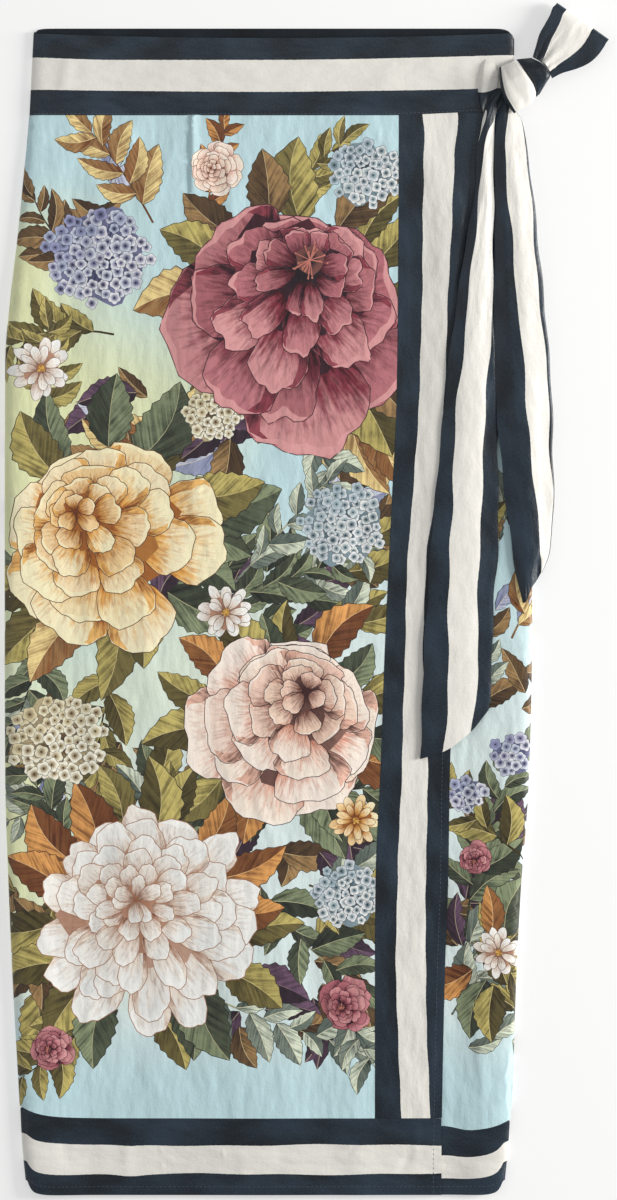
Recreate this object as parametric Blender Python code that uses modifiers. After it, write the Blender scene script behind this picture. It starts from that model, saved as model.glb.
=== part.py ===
"""Wrap skirt laid flat: two fronts, a back, striped borders, a waistband and a half bow.

The skirt lies on its back on Z = 0. X runs across it and Y up towards the waist. Places on the
cloth are given as x, measured from the centre line, and down, measured from the back's waist edge.
"""

import math
from collections import namedtuple

import bmesh
import bpy
from mathutils import Vector

MM = 0.001

# Lengths down the skirt
LENGTH = 0.8986
WAIST_SEAM = 0.0668
HEM_SEAM = 0.8397
UNDER_HEM_SEAM = 0.8500
FRONT_DROP = 0.0042
FRONT_DIP = 0.0035
WAIST_TILT = 0.0023
TILT_START = 0.0900
TILT_WIDTH = 0.0700
WAIST_HALF = 0.1850

# The under front: where its hidden edge and its waistband end, and how its hem seam climbs as it
# comes out from below the free edge
UNDER_EDGE = -0.1210
UNDER_BAND_END = 0.0040
UNDER_SEAM_CLIMB = 0.0040
UNDER_SEAM_START = 0.1330
UNDER_SEAM_END = 0.1550

# Walls, seams and the lie of the layers
SEAM_GAP = 0.0003
PANEL_WALL = 0.0010
BAND_WALL = 0.0012
WAIST_WALL = 0.0015
TIE_WALL = 0.0014
LAYER = 0.0019
SIDE_ROLL = 0.0090
SEAM_LEAD = 0.0004
LIFT_WIDTH = 0.0450
LIFT_WAIST = 0.0006
LIFT_HIP = 0.0032
UNDER_LIFT_WAIST = 0.0014
SEAM_HEIGHT_WAIST = 0.0026
SEAM_HEIGHT_HIP = 0.0034
HIP_DOWN = 0.2200

# Soft corners: how far an edge climbs at the side, and how quickly the climb fades inwards
HEM_CLIMB = 0.0115
HEM_FADE = 0.0042
BORDER_CLIMB = 0.0100
BORDER_FADE = 0.0140
CORNER_DROP_LEFT = 0.0030
CORNER_DROP_RIGHT = 0.0090
CORNER_FADE = 0.0030

# The bow stands at the right, so the box of the whole part is not centred on the skirt
CENTRE_X = -0.0285
CENTRE_Y = 0.4395

Side = namedtuple("Side", "down left right")
SIDES = [
    Side(0, -182, 188.3),
    Side(25, -183.3, 188.1),
    Side(68, -185.6, 188.1),
    Side(117, -190.2, 192.5),
    Side(163, -194.8, 197.1),
    Side(209, -200.2, 201.0),
    Side(256, -204.0, 202.5),
    Side(348, -204.4, 202.3),
    Side(487, -204.4, 201.7),
    Side(579, -204.0, 199.4),
    Side(671, -201.0, 192.8),
    Side(741, -197.9, 189.4),
    Side(810, -194.0, 187.1),
    Side(856, -191.3, 184.0),
    Side(899, -187.1, 179.8),
]

Border = namedtuple("Border", "down seam free")
FRONT_BORDER = [
    Border(0, 99.3, 168.0),
    Border(68, 99.3, 164.0),
    Border(209, 98.6, 157.0),
    Border(286, 97.6, 153.0),
    Border(363, 94.0, 149.0),
    Border(479, 88.5, 143.0),
    Border(571, 85.2, 138.6),
    Border(656, 81.4, 137.3),
    Border(718, 80.9, 135.0),
    Border(839, 80.9, 132.4),
    Border(899, 80.9, 131.7),
]

Fold = namedtuple("Fold", "x start end height half_width")
FRONT_FOLDS = [
    Fold(-128, 75, 330, 1.1, 15),
    Fold(-52, 120, 420, 1.6, 24),
    Fold(25, 90, 300, 0.9, 18),
    Fold(-95, 380, 760, 1.3, 30),
    Fold(-8, 520, 960, 2.4, 44),
    Fold(48, 330, 640, 1.2, 18),
    Fold(68, 700, 960, 1.1, 12),
]
UNDER_FOLDS = [
    Fold(162, 560, 940, 0.9, 12),
]

# Folds fade out over these lengths beside the seams and the free edge
FOLD_EDGE = 0.0090
FOLD_CLEARANCE = 0.0300
UNDER_EDGE_FLAT = 0.0020
UNDER_CLEARANCE = 0.0200

DART_X = -0.0608
DART_END = 0.1500
DART_HEIGHT = 0.0014
DART_HALF_WIDTH = 0.0035

# Shares of the way between two named lines where a sheet has its columns
ROLL_COLUMNS = [2.0, 1.0, 0.78, 0.55, 0.28]
BESIDE_LIFT = [0.0, 0.04, 0.09, 0.15]
TO_DART = [0.25, 0.38, 0.51, 0.63, 0.76]
BESIDE_DART = [0.86, 0.96, 1.0, 1.03, 1.12]
TO_BORDER = [1.27, 1.42, 1.56, 1.71, 1.85, 2.0]
OVER_BORDER = [2.2, 2.4, 2.6, 2.8, 3.0]
UNDER_HIDDEN = [0.0, 0.19, 0.37, 0.56, 0.74]
UNDER_SHOWN = [0.78, 0.81, 0.84, 0.87, 0.91, 0.94, 0.97, 1.0]
WAIST_MIDDLE = [0.22, 0.31, 0.41, 0.5, 0.59, 0.69, 0.78]
TAIL_COLUMNS = [0.0, 0.04, 0.13, 0.25, 0.37, 0.5, 0.63, 0.75, 0.87, 0.96, 1.0]

# How many crosswise lines each kind of sheet has
FRONT_ROWS = 27
UNDER_ROWS = 25
BACK_ROWS = 19
HEM_ROWS = 6
WAIST_ROWS = 5
TAIL_ROWS = 31
ROOT_ROWS = 13
LOOP_ROWS = 11

# A tie end: its edges, how high it lies, its lengthwise fullness, the pair of pleats that fan
# out of the knot, and how far its left edge stands up
Tail = namedtuple("Tail", "down left right rest crown pleat tilt")
LONG_TAIL = [
    Tail(47.7, 177.1, 182.5, 6.5, 0.6, 0.0, 0.0),
    Tail(53.9, 170.6, 178.6, 6.5, 1.0, 0.3, 0.0),
    Tail(64.7, 165.6, 174.0, 6.5, 1.4, 0.8, 0.0),
    Tail(93.9, 160.2, 172.3, 6.0, 2.2, 1.6, 0.3),
    Tail(132.4, 156.8, 171.7, 5.8, 2.4, 2.0, 0.8),
    Tail(170.9, 149.1, 172.2, 5.6, 2.4, 2.2, 1.4),
    Tail(209.4, 144.3, 172.2, 5.5, 2.4, 2.2, 2.0),
    Tail(240.2, 139.9, 172.0, 5.5, 2.4, 2.0, 2.4),
    Tail(286.4, 134.0, 174.8, 5.5, 2.4, 1.4, 2.8),
    Tail(317.2, 131.3, 175.9, 5.5, 2.2, 1.0, 3.0),
    Tail(363.4, 127.6, 175.6, 5.5, 2.0, 0.6, 3.0),
    Tail(401.9, 123.2, 174.9, 5.5, 1.8, 0.3, 3.0),
    Tail(440.4, 120.7, 172.9, 5.5, 1.6, 0.0, 2.8),
    Tail(489.7, 118.6, 170.9, 5.5, 1.6, 0.0, 2.4),
    Tail(515.1, 117.6, 168.4, 5.5, 1.8, 0.0, 2.0),
    Tail(562.9, 115.0, 163.0, 5.5, 2.2, 0.0, 1.2),
]
SHORT_TAIL = [
    Tail(52.4, 181.7, 187.9, 6.5, 0.6, 0.0, 0.0),
    Tail(58.5, 178.6, 187.5, 6.5, 1.0, 0.4, 0.0),
    Tail(65.5, 175.3, 190.2, 6.6, 1.4, 1.0, 0.0),
    Tail(70.8, 173.7, 193.7, 6.8, 1.8, 1.8, 0.0),
    Tail(93.9, 173.6, 197.7, 6.9, 2.4, 3.0, 0.0),
    Tail(132.4, 173.6, 202.5, 7.0, 2.8, 3.2, 0.2),
    Tail(170.9, 175.3, 207.5, 7.0, 3.0, 2.8, 0.6),
    Tail(209.4, 175.9, 211.5, 7.0, 3.0, 2.4, 1.0),
    Tail(240.2, 177.9, 213.3, 7.0, 3.0, 2.0, 1.2),
    Tail(286.4, 178.6, 217.1, 7.0, 3.0, 1.4, 1.4),
    Tail(317.2, 179.0, 218.3, 7.0, 2.8, 1.0, 1.4),
    Tail(363.4, 181.7, 218.4, 7.0, 2.6, 0.6, 1.2),
    Tail(401.9, 186.3, 214.8, 7.0, 2.6, 0.3, 1.0),
    Tail(421.2, 189.0, 208.7, 7.0, 2.4, 0.0, 0.8),
    Tail(442.8, 193.3, 201.7, 7.0, 1.8, 0.0, 0.5),
]

Cut = namedtuple("Cut", "share down")
LONG_TAIL_CUT = [Cut(0, 562.9), Cut(0.35, 557.5), Cut(0.8, 540.5), Cut(1, 525.1)]
SHORT_TAIL_CUT = [Cut(0, 442.8), Cut(0.4, 442.0), Cut(1, 418.9)]
TAIL_DROOP = 0.0036
DROOP_START = 0.0060
DROOP_WIDTH = 0.0220

Gather = namedtuple("Gather", "down left right crown")
ROOT = [
    Gather(24.3, 165.9, 169.8, 0.6),
    Gather(26.2, 164.0, 171.6, 1.4),
    Gather(29.3, 162.5, 173.4, 2.8),
    Gather(35.4, 161.3, 175.1, 4.6),
    Gather(41.6, 160.5, 175.3, 5.4),
    Gather(47.7, 160.2, 173.8, 4.6),
    Gather(50.8, 160.2, 171.2, 3.2),
    Gather(53.9, 160.5, 168.6, 2.4),
    Gather(58.5, 161.1, 166.0, 1.8),
    Gather(62.4, 162.2, 164.8, 1.2),
    Gather(64.7, 163.1, 164.5, 0.5),
]
ROOT_REST = 0.0062
ROOT_RISE = 1.1
ROOT_FALL = 0.15

Strip = namedtuple("Strip", "at left left_down right right_down under top")
KNOT_STRAP = [
    Strip(0.0, 176.3, 30.8, 188.7, 25.0, 6.6, 9.6),
    Strip(0.2, 176.3, 37.7, 193.7, 31.2, 6.8, 15.0),
    Strip(0.4, 177.1, 46.2, 197.9, 37.7, 8.6, 18.6),
    Strip(0.6, 178.9, 53.9, 202.5, 45.4, 10.2, 19.4),
    Strip(0.8, 183.3, 61.2, 204.3, 51.6, 10.4, 17.6),
    Strip(1.0, 187.5, 66.6, 202.5, 57.4, 10.6, 13.6),
]
KNOT_NECK = [
    Strip(0.0, 189.5, 24.6, 201.2, 23.4, 6.0, 9.4),
    Strip(0.2, 193.5, 30.2, 209.1, 27.8, 5.4, 14.4),
    Strip(0.4, 197.8, 37.0, 213.5, 32.2, 5.0, 16.6),
    Strip(0.6, 202.3, 44.6, 215.6, 37.0, 4.8, 16.0),
    Strip(0.8, 204.2, 50.2, 212.1, 43.5, 5.0, 13.0),
    Strip(1.0, 204.6, 53.4, 207.6, 51.0, 5.8, 9.0),
]
STRIP_ROWS = 14
STRIP_RING = 14
STRIP_SIDE = 0.7
STRIP_FACE = 0.75

# The loop: its two edges from the neck to the far fold, the lie of both layers, and the bow of
# each crosswise line away from the neck
Loop = namedtuple("Loop", "at left left_down right right_down upper lower bow")
TIE_LOOP = [
    Loop(0.0, 202.3, 22.5, 217.2, 38.9, 10.6, 6.4, 2.6),
    Loop(0.2, 204.6, 14.8, 225.0, 34.8, 10.4, 5.2, 2.4),
    Loop(0.4, 207.0, 6.2, 236.4, 31.2, 9.6, 4.0, 2.0),
    Loop(0.6, 211.8, -2.7, 245.6, 26.9, 8.4, 3.0, 1.4),
    Loop(0.75, 215.8, -10.0, 252.6, 20.8, 7.4, 2.4, 1.0),
    Loop(0.9, 218.5, -16.2, 258.0, 13.6, 6.6, 2.0, 0.5),
    Loop(1.0, 221.3, -19.2, 261.0, 8.9, 6.0, 2.0, 0.0),
]
LOOP_CROWN = 0.0016
LOOP_AXIS = Vector((0.65, 0.76, 0.0))

DARK = (0.034, 0.044, 0.062)
LIGHT = (0.78, 0.76, 0.71)
PRINT = (0.42, 0.62, 0.63)
ROUGHNESS = 0.45


def smooth(share):
    """0 to 1 with level ends."""
    share = min(max(share, 0.0), 1.0)
    return share * share * (3 - 2 * share)


def follow(table, column, at):
    """A smooth curve through one column of a table, which never overshoots its rows."""
    keys = [row[0] for row in table]
    values = [getattr(row, column) for row in table]
    at = min(max(at, keys[0]), keys[-1])
    slopes = [(b - a) / (v - u) for a, b, u, v in zip(values, values[1:], keys, keys[1:])]
    tangents = [slopes[0]]
    for before, after in zip(slopes, slopes[1:]):
        level = before * after <= 0
        tangents.append(0.0 if level else 2 * before * after / (before + after))
    tangents.append(slopes[-1])
    i = max(k for k in range(len(keys) - 1) if keys[k] <= at)
    span = keys[i + 1] - keys[i]
    t = (at - keys[i]) / span
    rise = t * t * (3 - 2 * t)
    start = tangents[i] * span * t * (1 - t) ** 2
    end = tangents[i + 1] * span * t * t * (t - 1)
    return values[i] + (values[i + 1] - values[i]) * rise + start + end


def shares(count, start=0.0, end=1.0):
    return [start + (end - start) * i / (count - 1) for i in range(count)]


# Lines of the skirt


def side(sign, down):
    column = "left" if sign < 0 else "right"
    return follow(SIDES, column, down / MM) * MM


def border_seam(down):
    return follow(FRONT_BORDER, "seam", down / MM) * MM


def free_edge(down):
    return follow(FRONT_BORDER, "free", down / MM) * MM


def hip_share(down):
    return smooth(down / HIP_DOWN)


def side_lift(down):
    return LIFT_WAIST + (LIFT_HIP - LIFT_WAIST) * hip_share(down)


def seam_height(down):
    return SEAM_HEIGHT_WAIST + (SEAM_HEIGHT_HIP - SEAM_HEIGHT_WAIST) * hip_share(down)


def inset(x, down):
    """How far a place lies in from the nearer side."""
    return max(min(x - side(-1, down), side(1, down) - x), 0.0)


def waist_seam(x):
    return WAIST_SEAM - WAIST_TILT * smooth((x - TILT_START) / TILT_WIDTH)


def back_top(x):
    drop = CORNER_DROP_RIGHT if x > 0 else CORNER_DROP_LEFT
    return drop * math.exp(-inset(x, 0.0) / CORNER_FADE)


def front_top(x):
    dip = FRONT_DIP * (1 - (x / WAIST_HALF) ** 2)
    return max(FRONT_DROP + dip, back_top(x) + SEAM_GAP)


def hem_seam(x):
    return HEM_SEAM - BORDER_CLIMB * math.exp(-inset(x, HEM_SEAM) / BORDER_FADE)


def under_hem_seam(x):
    near_edge = smooth((UNDER_SEAM_END - x) / (UNDER_SEAM_END - UNDER_SEAM_START))
    climb = BORDER_CLIMB * math.exp(-inset(x, HEM_SEAM) / BORDER_FADE)
    return UNDER_HEM_SEAM - UNDER_SEAM_CLIMB * near_edge - climb


def hem_edge(x):
    return LENGTH - HEM_CLIMB * math.exp(-inset(x, LENGTH) / HEM_FADE)


# Heights of the layers


def fold_height(folds, x, down):
    total = 0.0
    for fold in folds:
        along = (down / MM - fold.start) / (fold.end - fold.start)
        if 0 < along < 1:
            across = (x / MM - fold.x) / fold.half_width
            total += fold.height * math.sin(math.pi * along) * math.exp(-across * across)
    return total * MM


def dart_height(x, down):
    taper = smooth((DART_END - down) / (DART_END - WAIST_SEAM))
    across = (x - DART_X) / DART_HALF_WIDTH
    return DART_HEIGHT * taper * math.exp(-across * across)


def over_height(x, down):
    """Underside of the over front: it lies flat along its free edge and lifts at the left side."""
    clear = smooth((free_edge(down) - x - FOLD_EDGE) / FOLD_CLEARANCE)
    from_seam = smooth((down - WAIST_SEAM) / FOLD_CLEARANCE)
    roll_line = side(-1, down) + SIDE_ROLL + PANEL_WALL
    lift = side_lift(down) * smooth(1 - (x - roll_line) / LIFT_WIDTH)
    folds = fold_height(FRONT_FOLDS, x, down) * clear * from_seam
    return 2 * LAYER + lift + folds + dart_height(x, down)


def under_height(x, down):
    """Underside of the under front: flat below the over front, lifting at the right side."""
    roll_line = side(1, down) - SIDE_ROLL - PANEL_WALL
    shown = roll_line - free_edge(down) - UNDER_EDGE_FLAT
    full = side_lift(down) + UNDER_LIFT_WAIST * (1 - hip_share(down))
    lift = full * smooth(1 - (roll_line - x) / min(LIFT_WIDTH, shown))
    clear = smooth((x - free_edge(down)) / UNDER_CLEARANCE)
    return LAYER + lift + fold_height(UNDER_FOLDS, x, down) * clear


def waist_height(x, down):
    edge = inset(x, down) - SIDE_ROLL - PANEL_WALL
    return 2 * LAYER + side_lift(down) * smooth(1 - edge / LIFT_WIDTH)


# Sheets


def between(stops, t, down):
    """x at a column: t counts the named lines, and its fraction lies between two of them."""
    first = min(int(t), len(stops) - 2)
    start, end = stops[first](down), stops[first + 1](down)
    return start + (end - start) * (t - first)


def front_roll(sign, turn, down, height):
    """A front wall turning down at a side, from its top (turn 0) to the side seam (turn 1, 2)."""
    edge = side(sign, down)
    low = seam_height(down) + SEAM_GAP / 2
    if turn > 1:
        return edge - sign * PANEL_WALL, low
    angle = turn * math.pi / 2
    x = edge - sign * (PANEL_WALL + SIDE_ROLL * (1 - math.sin(angle)))
    lead = low + SEAM_LEAD
    return x, lead + (height(x, down) - lead) * math.cos(angle)


def back_roll(sign, turn, down):
    """The back's outer face turning up at a side to meet the front there."""
    edge = side(sign, down)
    seam = seam_height(down) - SEAM_GAP / 2
    radius = seam - SEAM_LEAD
    if turn > 1:
        return edge, seam
    angle = turn * math.pi / 2
    return edge - sign * radius * (1 - math.sin(angle)), radius * (1 - math.cos(angle))


def back_line(sign):
    return lambda down: side(sign, down) - sign * (seam_height(down) - SEAM_GAP / 2 - SEAM_LEAD)


def front_line(sign):
    return lambda down: side(sign, down) - sign * (SIDE_ROLL + PANEL_WALL)


class Sheet:
    """A wall between a top line and a bottom line, with columns from its left to its right."""

    def __init__(self, top, bottom, stops, height, back=False, climb=6):
        self.top = top
        self.bottom = bottom
        self.stops = stops
        self.height = height
        self.back = back
        self.climb = climb

    def place(self, t, down):
        last = len(self.stops) - 1
        if 0 <= t <= last:
            x = between(self.stops, t, down)
            return x, 0.0 if self.back else self.height(x, down)
        sign = -1 if t < 0 else 1
        turn = -t if t < 0 else t - last
        if self.back:
            return back_roll(sign, turn, down)
        return front_roll(sign, turn, down, self.height)

    def point(self, t, v):
        """v runs from 0 at the top line to 1 at the bottom line; curved ends fade along it."""
        flat_top, flat_bottom = self.top(0.0), self.bottom(0.0)
        level = flat_top + (flat_bottom - flat_top) * v
        x, _ = self.place(t, level)
        top_bend = (self.top(x) - flat_top) * (1 - v) ** self.climb
        bottom_bend = (self.bottom(x) - flat_bottom) * v**self.climb
        down = level + top_bend + bottom_bend
        x, z = self.place(t, down)
        return Vector((x, -down, z))


def add_object(name, mesh, colour, collection):
    material = bpy.data.materials.new(name + "_cloth")
    material.use_nodes = True
    shader = material.node_tree.nodes["Principled BSDF"]
    shader.inputs["Base Color"].default_value = (*colour, 1.0)
    shader.inputs["Roughness"].default_value = ROUGHNESS
    shader.inputs["Metallic"].default_value = 0.0
    mesh.materials.append(material)
    mesh.shade_smooth()
    piece = bpy.data.objects.new(name, mesh)
    collection.objects.link(piece)
    piece.parent = bpy.data.objects["skirt_origin"]
    return piece


def loft(name, rows, closed_ring=False):
    """A mesh through rows of points; a closed ring has both of its ends capped."""
    work = bmesh.new()
    grid = [[work.verts.new(point) for point in row] for row in rows]
    for upper, lower in zip(grid, grid[1:]):
        steps = len(upper) if closed_ring else len(upper) - 1
        for i in range(steps):
            j = (i + 1) % len(upper)
            work.faces.new((upper[i], lower[i], lower[j], upper[j]))
    if closed_ring:
        work.faces.new(grid[0])
        work.faces.new(list(reversed(grid[-1])))
    mesh = bpy.data.meshes.new(name)
    work.to_mesh(mesh)
    work.free()
    return mesh


def add_wall(name, rows, wall, colour, collection):
    """Cloth: an open surface with its thickness added on the side that its faces point to."""
    piece = add_object(name, loft(name, rows), colour, collection)
    thickness = piece.modifiers.new("wall", "SOLIDIFY")
    thickness.thickness = wall
    thickness.offset = 1.0
    thickness.use_even_offset = True
    return piece


def add_sheet(name, sheet, columns, rows, wall, colour, collection):
    points = [[sheet.point(t, v) for t in columns] for v in rows]
    return add_wall(name, points, wall, colour, collection)


def shifted(line, gap):
    return lambda x: line(x) + gap


# Pieces

HALF_GAP = SEAM_GAP / 2
LEFT_ROLL = [-turn for turn in ROLL_COLUMNS]


def right_roll(last):
    return [last + turn for turn in reversed(ROLL_COLUMNS)]


def dart_line(down):
    return DART_X


def seam_left(down):
    return border_seam(down) - HALF_GAP


def seam_right(down):
    return border_seam(down) + HALF_GAP


def over_columns():
    """Left roll, side lift, dart and the plain stretch up to the border."""
    return LEFT_ROLL + BESIDE_LIFT + TO_DART + BESIDE_DART + TO_BORDER


def add_over_front(collection):
    rows = shares(FRONT_ROWS)
    cloth_top = shifted(waist_seam, HALF_GAP)
    cloth_bottom = shifted(hem_seam, -HALF_GAP)
    panel_stops = [front_line(-1), dart_line, seam_left]
    panel = Sheet(cloth_top, cloth_bottom, panel_stops, over_height)
    add_sheet("over_panel", panel, over_columns(), rows, PANEL_WALL, PRINT, collection)
    border = Sheet(cloth_top, cloth_bottom, [seam_right, free_edge], over_height)
    add_sheet("front_band", border, shares(6), rows, BAND_WALL, DARK, collection)
    hem_stops = [front_line(-1), dart_line, border_seam, free_edge]
    hem = Sheet(shifted(hem_seam, HALF_GAP), hem_edge, hem_stops, over_height, climb=1)
    columns = over_columns() + OVER_BORDER
    add_sheet("over_hem_band", hem, columns, shares(HEM_ROWS), BAND_WALL, DARK, collection)


def under_edge(down):
    return UNDER_EDGE


def add_under_front(collection):
    columns = UNDER_HIDDEN + UNDER_SHOWN + right_roll(1)
    rows = shares(UNDER_ROWS)
    stops = [under_edge, front_line(1)]
    cloth_top = shifted(waist_seam, HALF_GAP)
    panel = Sheet(cloth_top, shifted(under_hem_seam, -HALF_GAP), stops, under_height)
    add_sheet("under_panel", panel, columns, rows, PANEL_WALL, PRINT, collection)
    hem = Sheet(shifted(under_hem_seam, HALF_GAP), hem_edge, stops, under_height, climb=1)
    add_sheet("under_hem_band", hem, columns, shares(HEM_ROWS), BAND_WALL, DARK, collection)


def add_back(collection):
    columns = LEFT_ROLL + shares(9) + right_roll(1)
    stops = [back_line(-1), back_line(1)]
    cloth_top = shifted(waist_seam, HALF_GAP)
    panel = Sheet(cloth_top, shifted(hem_seam, -HALF_GAP), stops, None, back=True)
    add_sheet("back_panel", panel, columns, shares(BACK_ROWS), PANEL_WALL, PRINT, collection)
    hem = Sheet(shifted(hem_seam, HALF_GAP), hem_edge, stops, None, back=True, climb=1)
    add_sheet("back_hem_band", hem, columns, shares(HEM_ROWS), BAND_WALL, DARK, collection)


def add_waistband(collection):
    beside_right = [1 - share for share in reversed(BESIDE_LIFT)]
    columns = LEFT_ROLL + BESIDE_LIFT + WAIST_MIDDLE + beside_right + right_roll(1)
    rows = shares(WAIST_ROWS)
    waist_bottom = shifted(waist_seam, -HALF_GAP)
    front_stops = [front_line(-1), front_line(1)]
    front = Sheet(front_top, waist_bottom, front_stops, waist_height, climb=1)
    add_sheet("waistband_front", front, columns, rows, WAIST_WALL, DARK, collection)
    back_stops = [back_line(-1), back_line(1)]
    back = Sheet(back_top, waist_bottom, back_stops, None, back=True, climb=1)
    add_sheet("waistband_back", back, columns, rows, WAIST_WALL, DARK, collection)

    def under_end(down):
        return front_line(1)(down) - UNDER_BAND_END

    def flat(x, down):
        return LAYER

    under = Sheet(front_top, waist_bottom, [under_edge, under_end], flat, climb=1)
    add_sheet("waistband_under", under, shares(9), rows, WAIST_WALL, DARK, collection)


def tail_rows(table, cut, droop):
    """Crosswise lines of a tie end, from the knot to its slanted cut."""
    first = table[0].down
    rows = []
    for v in shares(TAIL_ROWS):
        row = []
        for s in TAIL_COLUMNS:
            end = follow(cut, "down", s)
            down = first + (end - first) * v
            left = follow(table, "left", down)
            right = follow(table, "right", down)
            x = (left + (right - left) * s) * MM
            rest = follow(table, "rest", down)
            crown = follow(table, "crown", down) * math.sin(math.pi * s) ** 2
            pleat = follow(table, "pleat", down) * math.sin(2 * math.pi * s) ** 2
            tilt = follow(table, "tilt", down) * (1 - s) ** 3
            fall = droop * smooth((x - side(1, down * MM) + DROOP_START) / DROOP_WIDTH)
            height = (rest + crown + pleat + tilt) * MM - fall
            row.append(Vector((x, -down * MM, height)))
        rows.append(row)
    return rows


def add_tails(collection):
    long_rows = tail_rows(LONG_TAIL, LONG_TAIL_CUT, 0.0)
    add_wall("tie_tail_long", long_rows, TIE_WALL, DARK, collection)
    short_rows = tail_rows(SHORT_TAIL, SHORT_TAIL_CUT, TAIL_DROOP)
    add_wall("tie_tail_short", short_rows, TIE_WALL, LIGHT, collection)


def add_root(collection):
    """The waistband's end, gathered up towards the knot."""
    rows = []
    for v in shares(ROOT_ROWS, ROOT[0].down, ROOT[-1].down):
        left, right = follow(ROOT, "left", v), follow(ROOT, "right", v)
        crown = follow(ROOT, "crown", v)
        row = []
        for s in shares(8):
            height = ROOT_REST + crown * MM * smooth(s * ROOT_RISE) * (1 - ROOT_FALL * s**6)
            row.append(Vector(((left + (right - left) * s) * MM, -v * MM, height)))
        rows.append(row)
    add_wall("tie_root", rows, TIE_WALL, LIGHT, collection)


def rounded_strip(name, table, colour, collection):
    """Folded cloth with its hidden layers in one solid: a full section swept along a strip."""
    rows = []
    for at in shares(STRIP_ROWS):
        value = {field: follow(table, field, at) for field in Strip._fields[1:]}
        middle = (value["under"] + value["top"]) / 2
        half = (value["top"] - value["under"]) / 2
        ring = []
        for k in range(STRIP_RING):
            angle = 2 * math.pi * k / STRIP_RING
            across, up = -math.cos(angle), math.sin(angle)
            s = 0.5 + 0.5 * math.copysign(abs(across) ** STRIP_SIDE, across)
            x = value["left"] + (value["right"] - value["left"]) * s
            down = value["left_down"] + (value["right_down"] - value["left_down"]) * s
            z = middle + half * math.copysign(abs(up) ** STRIP_FACE, up)
            ring.append(Vector((x, -down, z)) * MM)
        rows.append(ring)
    mesh = loft(name, rows, closed_ring=True)
    return add_object(name, mesh, colour, collection)


def add_loop(collection):
    """The half bow's loop: out along the upper layer, round the far fold and back below."""
    stations = [(at, 0.0) for at in shares(LOOP_ROWS)]
    stations += [(1.0, turn) for turn in (0.25, 0.5, 0.75)]
    stations += [(at, 1.0) for at in shares(LOOP_ROWS, 1.0, 0.0)]
    rows = []
    for at, turn in stations:
        value = {field: follow(TIE_LOOP, field, at) for field in Loop._fields[1:]}
        lower = value["lower"] + TIE_WALL / MM
        height = lower + (value["upper"] - lower) * (1 + math.cos(math.pi * turn)) / 2
        radius = (value["upper"] - lower) / 2
        reach = radius * (math.sin(math.pi * turn) - 1) - TIE_WALL / MM
        row = []
        for s in shares(9):
            x = value["left"] + (value["right"] - value["left"]) * s
            down = value["left_down"] + (value["right_down"] - value["left_down"]) * s
            out = value["bow"] * math.sin(math.pi * s) + reach * at**8
            crown = LOOP_CROWN / MM * math.sin(math.pi * s) * (1 - turn) * (1 - at**4)
            point = Vector((x, -down, height + crown)) + LOOP_AXIS * out
            row.append(point * MM)
        rows.append(list(reversed(row)))
    add_wall("tie_loop", rows, TIE_WALL, LIGHT, collection)


def build():
    for old in list(bpy.data.objects):
        bpy.data.objects.remove(old, do_unlink=True)
    collection = bpy.data.collections.new("wrap_skirt")
    bpy.context.scene.collection.children.link(collection)
    origin = bpy.data.objects.new("skirt_origin", None)
    origin.location = (CENTRE_X, CENTRE_Y, 0.0)
    collection.objects.link(origin)
    add_back(collection)
    add_under_front(collection)
    add_over_front(collection)
    add_waistband(collection)
    add_root(collection)
    rounded_strip("knot_strap", KNOT_STRAP, LIGHT, collection)
    rounded_strip("knot_neck", KNOT_NECK, DARK, collection)
    add_loop(collection)
    add_tails(collection)


build()
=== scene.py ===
import math
import random
from collections import Counter

import bpy
import numpy as np
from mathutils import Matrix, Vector
from mathutils.geometry import delaunay_2d_cdt


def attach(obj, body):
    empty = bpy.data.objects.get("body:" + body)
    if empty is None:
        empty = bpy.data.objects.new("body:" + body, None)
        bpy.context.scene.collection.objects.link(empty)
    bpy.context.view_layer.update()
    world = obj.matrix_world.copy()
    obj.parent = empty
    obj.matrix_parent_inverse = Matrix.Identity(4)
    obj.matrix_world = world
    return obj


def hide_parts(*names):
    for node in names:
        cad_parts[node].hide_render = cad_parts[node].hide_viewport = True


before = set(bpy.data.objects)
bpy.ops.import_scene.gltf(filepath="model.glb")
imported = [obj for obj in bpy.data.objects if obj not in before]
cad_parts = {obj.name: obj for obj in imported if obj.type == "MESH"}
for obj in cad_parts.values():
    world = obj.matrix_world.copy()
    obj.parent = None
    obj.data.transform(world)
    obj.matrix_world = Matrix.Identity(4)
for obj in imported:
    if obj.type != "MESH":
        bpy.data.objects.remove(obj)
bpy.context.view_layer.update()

# Lengths in this script are in millimetres: x from the skirt's centre line, down from the
# back's waist edge, z up from the table. toFrame turns them into the frame's metres.
waistCentre = {"x": -28.5, "y": 439.5}
mirror = np.array([1, -1, 1])  # between down the skirt and up the frame


def toFrame(points):
    return (np.asarray(points, float) * mirror + [waistCentre["x"], waistCentre["y"], 0]) * 0.001


def smooth(t):
    t = np.clip(t, 0.0, 1.0)
    return t * t * (3 - 2 * t)


def bell(t):
    return np.exp(-(t**2))


def within(place, start, end, fade):
    # 1 between two places, fading to 0 at both
    return smooth((place - start) / fade) * smooth((end - place) / fade)


def unit(vectors, least=1e-9):
    return vectors / np.maximum(np.linalg.norm(vectors, axis=-1, keepdims=True), least)


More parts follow.
